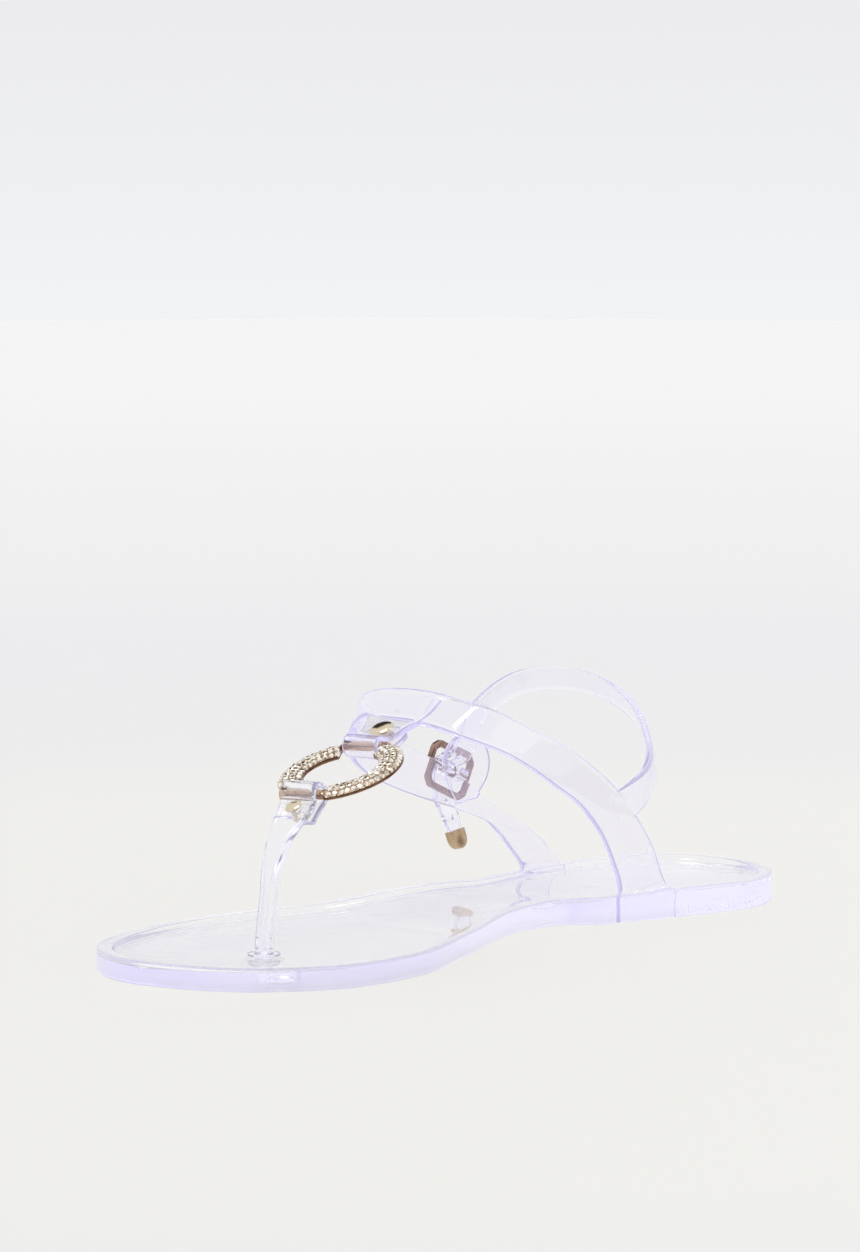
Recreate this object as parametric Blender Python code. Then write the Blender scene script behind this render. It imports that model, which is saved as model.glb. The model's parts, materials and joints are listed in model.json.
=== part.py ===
"""Clear moulded T-bar jelly sandal for the right foot, with a buckled ankle strap.

The sole lies along X with its toe at +X, and the inner side of the foot is at +Y.
All sizes are millimetres until place_on_origin turns the finished pieces to metres.
"""
import math

import bmesh
import bpy
from mathutils import Matrix, Vector

# Sole
SOLE_LENGTH = 250.0
BALL_WIDTH = 86.5
FOREFOOT_THICKNESS = 6.2
HEEL_THICKNESS = 8.3
ARCH_RISE = 1.5
TOE_SPRING = 2.9
RIM_WIDTH = 4.4
RIM_EDGE = 0.8
FOOTBED_RECESS = 1.7
FOOTBED_SLOPE = 1.2
FOOTBED_CUP = 0.5
SOLE_SIDE_STEPS = 44
FOOTBED_COLUMNS = 6

# Upper
INSTEP_HEIGHT = 69.0
ANKLE_HEIGHT = 67.5
STRAP_THICKNESS = 2.0
STRAP_EDGE = 0.35
TONGUE_THICKNESS = 1.5
TONGUE_WIDTH = 13.6
ANKLE_STRAP_WIDTH = 9.5
FREE_END_WIDTH = 7.0
ANKLE_STRAP_THICKNESS = 1.8
STRAP_HOLE = 2.0
ANCHOR_FLOOR_GAP = 0.6

# Ring, post and fastenings
T_BAR_TURN = math.radians(6.0)
RING_LENGTH = 33.2
RING_BREADTH = 36.0
RING_ARC_WIDTH = 6.8
RING_BAR_WIDTH = 2.2
RING_THICKNESS = 2.2
RING_SLOPE = math.radians(21.7)
RING_LEAN = math.radians(3.0)
RING_SHIFT = 1.9
BAR_INSET = 1.5
POST_TOP_WIDTH = 12.6
POST_WIDTH = 4.2
POST_THICKNESS = 1.7
POST_DEPTH = 3.8
POST_AWAY = 3.0
COLLAR_RADIUS = 4.4
COLLAR_HEIGHT = 1.1
PLUG_RADIUS = 5.2
PLUG_THICKNESS = 1.8
RIVET_RADIUS = 3.5
RIVET_DOME = 1.1
RIVET_SHANK = 1.2
POST_RIVET_RADIUS = 2.4
BUCKLE_WIDTH = 16.6
BUCKLE_LENGTH = 14.4
BUCKLE_RAIL = 1.9
BUCKLE_THICKNESS = 1.8
BUCKLE_BAR_RADIUS = 0.8
LUG_WALL = 1.0
LUG_WIDTH = 3.2
EAR_RADIUS = 9.5
PRONG_RADIUS = 0.6
TIP_LENGTH = 5.6
TIP_WALL = 0.4

# Gap that pieces keep where they meet
CLEARANCE = 0.3
MILLIMETRE = 0.001

# Sole outline: shares of the sole length, then of the ball width to each side
OUTLINE = (
    # station, medial, lateral
    (0.015, 0.148, 0.186),
    (0.050, 0.289, 0.282),
    (0.120, 0.380, 0.350),
    (0.200, 0.347, 0.368),
    (0.300, 0.279, 0.349),
    (0.400, 0.224, 0.342),
    (0.500, 0.253, 0.379),
    (0.600, 0.365, 0.449),
    (0.700, 0.491, 0.494),
    (0.800, 0.506, 0.471),
    (0.880, 0.438, 0.379),
    (0.940, 0.354, 0.244),
    (0.985, 0.213, 0.060),
)
TOE_TIP = (1.0, 0.102)

# Anchor tabs outside the wall of the sole: stations of their rear and front edges
MEDIAL_ANCHOR = (0.243, 0.320)
LATERAL_ANCHOR = (0.172, 0.237)

# Arms and vamp from the medial side to the lateral side. Stations are shares of the
# sole length, sides of the ball width and heights of the instep height.
ARM_ROWS = (
    # rear edge: station, side, height; front edge: station, side, height
    (0.250, 0.318, 0.145, 0.324, 0.306, 0.150),
    (0.274, 0.320, 0.305, 0.342, 0.309, 0.300),
    (0.300, 0.316, 0.440, 0.362, 0.308, 0.415),
    (0.330, 0.300, 0.570, 0.394, 0.305, 0.530),
    (0.374, 0.291, 0.690, 0.427, 0.302, 0.605),
    (0.420, 0.278, 0.786, 0.459, 0.292, 0.680),
    (0.460, 0.257, 0.856, 0.500, 0.272, 0.763),
    (0.504, 0.207, 0.946, 0.545, 0.228, 0.833),
    (0.528, 0.163, 0.973, 0.573, 0.177, 0.878),
    (0.542, 0.097, 0.999, 0.588, 0.116, 0.901),
    (0.549, -0.030, 1.010, 0.592, 0.000, 0.905),
    (0.562, -0.150, 0.997, 0.588, -0.116, 0.899),
    (0.553, -0.243, 0.942, 0.570, -0.240, 0.815),
    (0.520, -0.312, 0.841, 0.546, -0.312, 0.700),
    (0.472, -0.347, 0.754, 0.506, -0.347, 0.609),
    (0.424, -0.360, 0.681, 0.468, -0.357, 0.550),
    (0.376, -0.367, 0.610, 0.414, -0.366, 0.480),
    (0.310, -0.369, 0.450, 0.354, -0.370, 0.413),
    (0.279, -0.371, 0.383, 0.304, -0.371, 0.343),
    (0.250, -0.373, 0.333, 0.283, -0.373, 0.284),
    (0.222, -0.374, 0.267, 0.264, -0.374, 0.213),
    (0.200, -0.374, 0.203, 0.247, -0.374, 0.146),
)

# Vamp's middle, where the line of the tongue, ring and post starts
T_BAR_START = (0.548, 0.010)
# Tongue: over the ring's rear bar, round it and back underneath. Stations are shares
# of the sole length, heights of the instep height, widths of the tongue width.
TONGUE_OUT = (
    # station, height, width
    (0.556, 0.973, 1.45),
    (0.572, 0.936, 1.47),
    (0.588, 0.896, 1.36),
    (0.6035, 0.867, 1.10),
    (0.616, 0.8455, 0.95),
    (0.627, 0.8385, 0.88),
)
TONGUE_BACK = (
    (0.6260, 0.782, 0.86),
    (0.6150, 0.8025, 0.90),
    (0.6035, 0.8245, 0.92),
    (0.5940, 0.8425, 0.85),
    (0.5880, 0.8520, 0.52),
)
LOOP_WIDTH = 0.86
RING_REAR_BAR = (0.637, 0.807)
RIVET_STATION = 0.6030

# Toe post: the end that lies behind it, then the strap from the bar to the footbed
POST_TAIL = (
    # station, height, share of the way to the medial side
    (0.7590, 0.556, 0.50),
    (0.7500, 0.583, 0.40),
)
POST_ROWS = (
    # station, height, width share, depth share, share of the way to the medial side
    (0.7575, 0.612, 1.00, 0.00, 0.40),
    (0.7650, 0.589, 0.92, 0.06, 0.50),
    (0.7760, 0.556, 0.74, 0.25, 0.63),
    (0.7890, 0.512, 0.48, 0.60, 0.80),
    (0.8000, 0.458, 0.30, 0.90, 1.00),
    (0.8075, 0.385, 0.08, 1.00, 1.00),
    (0.8120, 0.272, 0.00, 1.00, 0.97),
    (0.8160, 0.172, 0.00, 1.00, 0.90),
)
POST_BASE = 0.818

# Ankle strap round the heel: its upper edge, width and direction to the lower edge
ANKLE_ROWS = (
    # station, side, share of ankle height, share of strap width, direction down
    (0.342, 0.2955, 0.560, 1.00, (-0.45, 0.03, -0.88)),
    (0.322, 0.2935, 0.575, 1.00, (-0.50, 0.06, -0.85)),
    (0.300, 0.283, 0.600, 0.97, (-0.40, 0.03, -0.92)),
    (0.252, 0.220, 0.640, 0.93, (-0.30, -0.05, -0.95)),
    (0.204, 0.116, 0.700, 0.90, (-0.34, -0.05, -0.94)),
    (0.176, 0.023, 0.770, 0.88, (-0.38, 0.00, -0.92)),
    (0.154, -0.070, 0.835, 0.86, (-0.40, 0.00, -0.92)),
    (0.146, -0.160, 0.900, 0.84, (-0.38, 0.05, -0.92)),
    (0.152, -0.245, 0.955, 0.80, (-0.33, 0.10, -0.94)),
    (0.172, -0.325, 0.990, 0.77, (-0.28, 0.15, -0.95)),
    (0.212, -0.378, 1.000, 0.75, (-0.25, 0.15, -0.95)),
    (0.252, -0.397, 0.978, 0.74, (-0.42, 0.08, -0.90)),
    (0.290, -0.402, 0.920, 0.74, (-0.60, 0.05, -0.80)),
    (0.324, -0.398, 0.835, 0.74, (-0.74, 0.00, -0.67)),
)

# Buckle and the strap's free end
BUCKLE_CENTRE = (0.349, -0.4225, 0.572)
BUCKLE_ACROSS = Vector((-0.90, 0.06, -0.42))
BUCKLE_DOWN = Vector((0.42, 0.0, -0.90))
FREE_END = (
    # along the buckle, off its plane, across it, turn in degrees, width share
    (-9.5, -2.05, 1.4, -8.0, 1.00),
    (-7.4, -2.15, 1.0, -4.0, 1.00),
    (-5.2, -2.05, 0.7, -2.0, 1.00),
    (-3.9, -0.20, 0.5, -1.0, 1.00),
    (-2.4, 2.30, 0.3, 0.0, 1.00),
    (0.0, 3.40, 0.2, 2.0, 1.00),
    (3.4, 3.10, 0.8, 6.0, 1.00),
    (6.4, 2.30, 2.2, 11.0, 1.00),
    (9.0, 1.60, 4.5, 18.0, 0.97),
    (12.0, 0.90, 7.7, 23.0, 0.88),
    (15.0, 0.20, 10.1, 24.0, 0.72),
    (17.65, -0.50, 11.9, 23.0, 0.56),
)
FREE_END_HOLES = (8.4, 11.8)
# Ear that carries the buckle: centre as shares of sole length and instep height
EAR_CENTRE = (0.336, -0.3700, 0.594)


def smooth_path(points, steps):
    """Centripetal curve through the points, with a number of steps in each span."""
    pts = [Vector(p) for p in points]
    ends = [pts[0] * 2 - pts[1]] + pts + [pts[-1] * 2 - pts[-2]]
    path = []
    for i in range(len(pts) - 1):
        p0, p1, p2, p3 = ends[i:i + 4]
        t0 = 0.0
        t1 = t0 + max((p1 - p0).length, 1e-6) ** 0.5
        t2 = t1 + max((p2 - p1).length, 1e-6) ** 0.5
        t3 = t2 + max((p3 - p2).length, 1e-6) ** 0.5
        for k in range(steps):
            t = t1 + (t2 - t1) * k / steps
            a1 = p0.lerp(p1, (t - t0) / (t1 - t0))
            a2 = p1.lerp(p2, (t - t1) / (t2 - t1))
            a3 = p2.lerp(p3, (t - t2) / (t3 - t2))
            b1 = a1.lerp(a2, (t - t0) / (t2 - t0))
            b2 = a2.lerp(a3, (t - t1) / (t3 - t1))
            path.append(b1.lerp(b2, (t - t1) / (t2 - t1)))
    path.append(pts[-1])
    return path


def resample(path, steps):
    """The path's points at equal lengths along it."""
    lengths = [0.0]
    for a, b in zip(path, path[1:]):
        lengths.append(lengths[-1] + (b - a).length)
    result = []
    i = 0
    for k in range(steps + 1):
        target = lengths[-1] * k / steps
        while i < len(path) - 2 and lengths[i + 1] < target:
            i += 1
        span = lengths[i + 1] - lengths[i]
        result.append(path[i].lerp(path[i + 1], (target - lengths[i]) / span))
    return result


def smoothstep(low, high, value):
    """Smooth change from 0 at low to 1 at high."""
    t = min(max((value - low) / (high - low), 0.0), 1.0)
    return t * t * (3 - 2 * t)


def tangents(path):
    """Unit direction of the path at each of its points."""
    last = len(path) - 1
    return [(path[min(i + 1, last)] - path[max(i - 1, 0)]).normalized() for i in range(last + 1)]


def material(name, colour, roughness, metallic, transmission=0.0):
    """A Principled material with one colour."""
    mat = bpy.data.materials.new(name)
    mat.use_nodes = True
    shader = mat.node_tree.nodes["Principled BSDF"]
    shader.inputs["Base Color"].default_value = (*colour, 1.0)
    shader.inputs["Roughness"].default_value = roughness
    shader.inputs["Metallic"].default_value = metallic
    shader.inputs["Transmission Weight"].default_value = transmission
    return mat


def mesh_object(name, verts, faces):
    """An object in the scene from points and faces, with its faces pointing out."""
    mesh = bpy.data.meshes.new(name)
    mesh.from_pydata([tuple(v) for v in verts], [], faces)
    bm = bmesh.new()
    bm.from_mesh(mesh)
    bmesh.ops.recalc_face_normals(bm, faces=bm.faces)
    if bm.calc_volume(signed=True) < 0:
        bmesh.ops.reverse_faces(bm, faces=bm.faces)
    bm.to_mesh(mesh)
    bm.free()
    obj = bpy.data.objects.new(name, mesh)
    bpy.context.collection.objects.link(obj)
    return obj


def loft(name, sections, closed=False):
    """Closed solid through sections that have as many points each."""
    count = len(sections[0])
    verts = [p for section in sections for p in section]
    faces = []
    spans = len(sections) if closed else len(sections) - 1
    for i in range(spans):
        a = i * count
        b = (i + 1) % len(sections) * count
        for j in range(count):
            k = (j + 1) % count
            faces.append((a + j, a + k, b + k, b + j))
    if not closed:
        faces.append(tuple(range(count)))
        faces.append(tuple(range(len(verts) - count, len(verts))))
    return mesh_object(name, verts, faces)


def strip_section(rear, front, normal, thickness, rise):
    """Cross-section of a flat strap with its edges eased, its middle raised by a rise."""
    across = front - rear
    width = across.length
    across.normalize()
    half = thickness / 2
    rear = rear + normal * rise
    ease = min(STRAP_EDGE, half * 0.6)
    outline = (
        (ease, half), (width - ease, half), (width, half - ease), (width, ease - half),
        (width - ease, -half), (ease, -half), (0.0, ease - half), (0.0, half - ease),
    )
    return [rear + across * s + normal * n for s, n in outline]


def strip(name, rear, front, thickness, rise=0.0):
    """Flat strap between two edges. The rise moves its middle off them."""
    middle = [a.lerp(b, 0.5) for a, b in zip(rear, front)]
    sections = []
    for a, b, run in zip(rear, front, tangents(middle)):
        normal = run.cross(b - a).normalized()
        sections.append(strip_section(a, b, normal, thickness, rise))
    return loft(name, sections)


def ribbon(name, path, widths, across, thickness):
    """Flat strap along a path, whose width lies along one direction."""
    side = across.normalized()
    rear = [p - side * w / 2 for p, w in zip(path, widths)]
    front = [p + side * w / 2 for p, w in zip(path, widths)]
    return strip(name, rear, front, thickness)


def turned(name, profile, place, axis, segments=24):
    """Solid turned about an axis from (radius, height) points that start and end on it."""
    turn = axis.normalized().to_track_quat("Z", "Y").to_matrix()
    verts = [place + turn @ Vector((0, 0, profile[0][1]))]
    for radius, height in profile[1:-1]:
        for k in range(segments):
            angle = 2 * math.pi * k / segments
            point = Vector((radius * math.cos(angle), radius * math.sin(angle), height))
            verts.append(place + turn @ point)
    verts.append(place + turn @ Vector((0, 0, profile[-1][1])))
    last = len(verts) - 1
    faces = []
    for k in range(segments):
        j = (k + 1) % segments
        faces.append((0, 1 + j, 1 + k))
        faces.append((last, last - segments + k, last - segments + j))
        for row in range(len(profile) - 3):
            a = 1 + row * segments
            b = a + segments
            faces.append((a + k, a + j, b + j, b + k))
    return mesh_object(name, verts, faces)


def rod(name, start, end, radius, segments=16):
    """Round rod between two points."""
    length = (end - start).length
    profile = ((0, 0), (radius, 0), (radius, length), (0, length))
    return turned(name, profile, start, end - start, segments)


def block(name, centre, axes, size):
    """Box about a centre, with three directions and three full sizes."""
    verts = []
    for x in (-0.5, 0.5):
        for y in (-0.5, 0.5):
            for z in (-0.5, 0.5):
                verts.append(centre + axes[0] * size[0] * x + axes[1] * size[1] * y + axes[2] * size[2] * z)
    faces = [(0, 1, 3, 2), (4, 6, 7, 5), (0, 4, 5, 1), (2, 3, 7, 6), (0, 2, 6, 4), (1, 5, 7, 3)]
    return mesh_object(name, verts, faces)


def combine(target, tools, operation):
    """Join tools to the target, or cut it with them, and remove the tools."""
    for tool in tools:
        modifier = target.modifiers.new(operation.title(), "BOOLEAN")
        modifier.operation = operation
        modifier.solver = "EXACT"
        modifier.object = tool
        evaluated = target.evaluated_get(bpy.context.evaluated_depsgraph_get())
        result = bpy.data.meshes.new_from_object(evaluated)
        target.modifiers.clear()
        target.data = result
        bpy.data.objects.remove(tool)
    return target


def finish(obj, mat, angle=35.0):
    """Give a piece its material and smooth shading up to an angle."""
    obj.data.materials.clear()
    obj.data.materials.append(mat)
    obj.data.shade_smooth()
    obj.data.set_sharp_from_angle(angle=math.radians(angle))
    return obj


class Outline:
    """Closed outline of the sole and what lies on it."""

    def __init__(self):
        heel = Vector((0, 0, 0))
        toe = Vector((TOE_TIP[0] * SOLE_LENGTH, TOE_TIP[1] * BALL_WIDTH, 0))
        medial = [Vector((u * SOLE_LENGTH, m * BALL_WIDTH, 0)) for u, m, _ in OUTLINE]
        lateral = [Vector((u * SOLE_LENGTH, -s * BALL_WIDTH, 0)) for u, _, s in OUTLINE]
        loop = [lateral[1], lateral[0], heel] + medial + [toe] + lateral[::-1] + [heel, medial[0]]
        steps = 10
        path = smooth_path(loop, steps)
        start = 2 * steps
        middle = start + (len(medial) + 1) * steps
        end = middle + (len(lateral) + 1) * steps
        self.medial = resample(path[start:middle + 1], SOLE_SIDE_STEPS)
        self.lateral = resample(path[middle:end + 1], SOLE_SIDE_STEPS)[::-1]
        self.loop = self.medial[:-1] + self.lateral[:0:-1]
        count = len(self.loop)
        self.inward = []
        for i in range(count):
            run = self.loop[(i + 1) % count] - self.loop[i - 1]
            self.inward.append(Vector((run.y, -run.x, 0)).normalized())

    def wall(self, side, station, out):
        """Point at a station, a distance outside the wall, on the medial or lateral side."""
        points = self.medial if side > 0 else self.lateral
        x = station * SOLE_LENGTH
        for a, b in zip(points, points[1:]):
            if a.x <= x <= b.x:
                place = a.lerp(b, (x - a.x) / (b.x - a.x))
                run = (b - a).normalized()
                return place + Vector((-run.y, run.x, 0)) * side * out
        return points[-1].copy()


def bottom_height(x):
    """Height of the underside above the floor: the arch and the toe spring."""
    u = x / SOLE_LENGTH
    arch = smoothstep(0.32, 0.42, u) * (1 - smoothstep(0.46, 0.57, u)) * ARCH_RISE
    spring = max(u - 0.80, 0.0) / 0.20
    return arch + TOE_SPRING * spring * spring


def rim_height(x):
    """Height of the rim, from the heel's thickness down to the forefoot's."""
    heel_part = 1 - smoothstep(0.20, 0.62, x / SOLE_LENGTH)
    return bottom_height(x) + FOREFOOT_THICKNESS + (HEEL_THICKNESS - FOREFOOT_THICKNESS) * heel_part


def footbed_height(x):
    """Height of the footbed at its edge."""
    return rim_height(x) - FOOTBED_RECESS


def post_axis(height):
    """Point on the toe post's upright foot."""
    foot = t_bar(POST_BASE, 0.0) - t_bar_across() * POST_AWAY * POST_ROWS[-1][-1]
    return Vector((foot.x, foot.y, height))


def post_point(station, height, away):
    """Point on the post, moved from the ring's line to the medial side."""
    return t_bar(station, height) - t_bar_across() * POST_AWAY * away


def build_sole(outline, mat):
    """Sole with its rim, recessed footbed, arch and toe spring, bored for the post."""
    # inward offset and height of each ring, from the underside up and over the rim
    rings = (
        (1.0, lambda x: bottom_height(x)),
        (0.0, lambda x: bottom_height(x) + RIM_EDGE),
        (0.0, lambda x: rim_height(x) - RIM_EDGE),
        (RIM_EDGE * 0.3, lambda x: rim_height(x) - RIM_EDGE * 0.3),
        (RIM_EDGE, lambda x: rim_height(x)),
        (RIM_WIDTH, lambda x: rim_height(x)),
        (RIM_WIDTH + FOOTBED_SLOPE, lambda x: footbed_height(x)),
    )
    count = len(outline.loop)
    verts = []
    for inset, height in rings:
        for point, inward in zip(outline.loop, outline.inward):
            place = point + inward * inset
            verts.append(Vector((place.x, place.y, height(place.x))))
    faces = []
    for row in range(len(rings) - 1):
        a = row * count
        for j in range(count):
            k = (j + 1) % count
            faces.append((a + j, a + k, a + count + k, a + count + j))
    # underside and footbed are strips across, between the points of the two sides
    for base, cup in ((0, 0.0), ((len(rings) - 1) * count, FOOTBED_CUP)):
        rows = [[base]]
        for i in range(1, SOLE_SIDE_STEPS):
            medial = base + i
            lateral = base + count - i
            row = [medial]
            for c in range(1, FOOTBED_COLUMNS):
                t = c / FOOTBED_COLUMNS
                point = verts[medial].lerp(verts[lateral], t)
                edge = footbed_height(point.x) if cup else bottom_height(point.x)
                point.z = edge - cup * 4 * t * (1 - t)
                row.append(len(verts))
                verts.append(point)
            row.append(lateral)
            rows.append(row)
        rows.append([base + SOLE_SIDE_STEPS])
        for near, far in zip(rows, rows[1:]):
            if len(near) == 1:
                faces += [(near[0], far[c], far[c + 1]) for c in range(FOOTBED_COLUMNS)]
            elif len(far) == 1:
                faces += [(near[c], near[c + 1], far[0]) for c in range(FOOTBED_COLUMNS)]
            else:
                faces += [(near[c], near[c + 1], far[c + 1], far[c]) for c in range(FOOTBED_COLUMNS)]
    sole = mesh_object("sole", verts, faces)
    top = post_axis(rim_height(POST_BASE * SOLE_LENGTH) + 2)
    bore = rod("bore", post_axis(-2), top, POST_WIDTH / 2 + CLEARANCE)
    recess = rod("recess", post_axis(-2), post_axis(plug_top() + CLEARANCE), PLUG_RADIUS + CLEARANCE)
    combine(sole, [bore, recess], "DIFFERENCE")
    return finish(sole, mat, 30.0)


def plug_top():
    """Height of the top of the post's plug, which stays clear of the floor."""
    return bottom_height(POST_BASE * SOLE_LENGTH) + CLEARANCE + PLUG_THICKNESS


def shares(station, side, height, tall=INSTEP_HEIGHT):
    """Point from shares of the sole length, ball width and a height."""
    return Vector((station * SOLE_LENGTH, side * BALL_WIDTH, height * tall))


def t_bar(station, height):
    """Point over the line of the tongue, ring and post, which turns to the medial side."""
    run = (station - T_BAR_START[0]) * SOLE_LENGTH
    side = T_BAR_START[1] * BALL_WIDTH + run * math.tan(T_BAR_TURN)
    return Vector((station * SOLE_LENGTH, side, height * INSTEP_HEIGHT))


def t_bar_across():
    """Level direction across the tongue and post, to the lateral side."""
    return Vector((math.sin(T_BAR_TURN), -math.cos(T_BAR_TURN), 0))


def arm_edges(outline):
    """Smooth rear and front edges of the outer face of the arms and vamp."""
    out = CLEARANCE + STRAP_THICKNESS
    rear = []
    front = []
    for height in (ANCHOR_FLOOR_GAP, HEEL_THICKNESS * 0.5, HEEL_THICKNESS):
        for edge, station in ((rear, MEDIAL_ANCHOR[0]), (front, MEDIAL_ANCHOR[1])):
            point = outline.wall(1, station, out)
            point.z = height
            edge.append(point)
    for row in ARM_ROWS:
        rear.append(shares(*row[:3]))
        front.append(shares(*row[3:]))
    for height in (HEEL_THICKNESS, HEEL_THICKNESS * 0.5, ANCHOR_FLOOR_GAP):
        for edge, station in ((rear, LATERAL_ANCHOR[0]), (front, LATERAL_ANCHOR[1])):
            point = outline.wall(-1, station, out)
            point.z = height
            edge.append(point)
    return smooth_path(rear, 3), smooth_path(front, 3)


def ring_axes():
    """Directions of the ring: forward, across to the medial side, and its normal."""
    ahead = Vector((math.cos(T_BAR_TURN), math.sin(T_BAR_TURN), 0))
    forward = ahead * math.cos(RING_SLOPE) - Vector((0, 0, math.sin(RING_SLOPE)))
    level = -t_bar_across()
    across = level * math.cos(RING_LEAN) + Vector((0, 0, math.sin(RING_LEAN)))
    normal = forward.cross(across).normalized()
    return forward, normal.cross(forward).normalized(), normal


def ring_bars():
    """Centres of the ring's rear and front bars, and of the ring."""
    forward, _, _ = ring_axes()
    reach = (RING_LENGTH - RING_BAR_WIDTH) / 2 - BAR_INSET
    rear = t_bar(*RING_REAR_BAR)
    return rear, rear + forward * 2 * reach, rear + forward * reach


def build_ring(mat):
    """Oval ring whose two wide arcs are joined by straight narrow bars for the straps."""
    forward, across, normal = ring_axes()
    _, _, centre = ring_bars()
    centre = centre + across * RING_SHIFT
    steps = 72
    half = RING_THICKNESS / 2
    sections = []
    for k in range(steps):
        angle = 2 * math.pi * k / steps
        fore = math.cos(angle)
        side = math.sin(angle)
        arc = smoothstep(0.39, 0.50, abs(side + RING_SHIFT / RING_BREADTH * 2))
        width = RING_BAR_WIDTH + (RING_ARC_WIDTH - RING_BAR_WIDTH) * arc
        reach = fore * RING_LENGTH / 2 * arc + math.copysign(RING_LENGTH / 2 - BAR_INSET, fore) * (1 - arc)
        outer = forward * reach + across * side * RING_BREADTH / 2
        radial = (forward * fore / RING_LENGTH + across * side / RING_BREADTH).normalized() * arc
        radial = (radial + forward * math.copysign(1 - arc, fore)).normalized()
        edge = min(0.4, half * 0.5)
        section = []
        for inward, level in (
            (0.0, -half + edge), (0.0, half - edge), (edge, half), (width - edge, half),
            (width, half - edge), (width, -half + edge), (width - edge, -half), (edge, -half),
        ):
            section.append(centre + outer - radial * inward + normal * level)
        sections.append(section)
    return finish(loft("ring_frame", sections, closed=True), mat, 30.0)


def loop_round(bar, start, end, radius, forward, normal, steps=8):
    """Arc about a bar, in the plane of two directions, from one angle to another."""
    arc = []
    for k in range(steps + 1):
        angle = math.radians(start + (end - start) * k / steps)
        arc.append(bar + (forward * math.cos(angle) + normal * math.sin(angle)) * radius)
    return arc


def loop_radius(thickness):
    """Radius of a strap's middle where it loops round a bar of the ring."""
    return math.hypot(RING_THICKNESS, RING_BAR_WIDTH) / 2 + CLEARANCE + thickness / 2


def tongue_path():
    """Middle line and widths of the tongue: over the rear bar, round it and back."""
    forward, _, normal = ring_axes()
    rear_bar, _, _ = ring_bars()
    arc = loop_round(rear_bar, 92, -96, loop_radius(TONGUE_THICKNESS), forward, normal)
    points = [t_bar(u, h) for u, h, _ in TONGUE_OUT] + arc + [t_bar(u, h) for u, h, _ in TONGUE_BACK]
    widths = [w for _, _, w in TONGUE_OUT] + [LOOP_WIDTH] * len(arc) + [w for _, _, w in TONGUE_BACK]
    steps = 2
    path = smooth_path(points, steps)
    smooth_widths = [v.x for v in smooth_path([Vector((w, i, 0)) for i, w in enumerate(widths)], steps)]
    return path, [w * TONGUE_WIDTH for w in smooth_widths]


def rivet_axis():
    """Point on the tongue's lower layer, direction through it and way to the upper one."""
    x = RIVET_STATION * SOLE_LENGTH
    path, _ = tongue_path()
    crossings = []
    for a, b in zip(path, path[1:]):
        if (a.x - x) * (b.x - x) <= 0 and a.x != b.x:
            crossings.append((a.lerp(b, (x - a.x) / (b.x - a.x)), (b - a).normalized()))
    high, run = crossings[0]
    low, _ = crossings[-1]
    axis = t_bar_across().cross(run).normalized()
    return low, axis, (high - low).dot(axis)


def rivet_profile(radius, dome, grip, lower_radius):
    """Half section of a domed rivet, whose shank bridges a grip between two heads."""
    shank = RIVET_SHANK
    foot = 0.7
    return (
        (0, -foot), (lower_radius * 0.85, -foot), (lower_radius, -foot * 0.6), (lower_radius, 0),
        (shank, 0), (shank, grip), (radius, grip), (radius, grip + dome * 0.35),
        (radius * 0.86, grip + dome * 0.68), (radius * 0.5, grip + dome * 0.94), (0, grip + dome),
    )


def build_tab_rivet(mat):
    """Domed rivet through the tongue and the end folded back on it."""
    low, axis, spread = rivet_axis()
    foot = low - axis * (TONGUE_THICKNESS / 2 + CLEARANCE)
    grip = spread + TONGUE_THICKNESS + 2 * CLEARANCE
    profile = rivet_profile(RIVET_RADIUS, RIVET_DOME, grip, RIVET_RADIUS * 0.7)
    return finish(turned("tab_rivet", profile, foot, axis, 32), mat, 40.0)


def ankle_rows():
    """Upper and lower edges of the ankle strap, round the heel and through the buckle."""
    upper = []
    lower = []
    for station, side, height, width, fall in ANKLE_ROWS:
        point = shares(station, side, height, ANKLE_HEIGHT)
        upper.append(point)
        lower.append(point + Vector(fall).normalized() * ANKLE_STRAP_WIDTH * width)
    across, down, out, centre = buckle_axes()
    for along, off, aside, turn, width in FREE_END:
        middle = centre + down * along + out * off + across * aside
        direction = Matrix.Rotation(math.radians(-turn), 3, out) @ across
        upper.append(middle - direction * FREE_END_WIDTH * width / 2)
        lower.append(middle + direction * FREE_END_WIDTH * width / 2)
    return upper, lower


def buckle_axes():
    """Directions of the buckle: across, down and outwards; and its centre."""
    across = BUCKLE_ACROSS.normalized()
    down = (BUCKLE_DOWN - across * BUCKLE_DOWN.dot(across)).normalized()
    out = across.cross(down).normalized()
    return across, down, out, shares(*BUCKLE_CENTRE)


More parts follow.
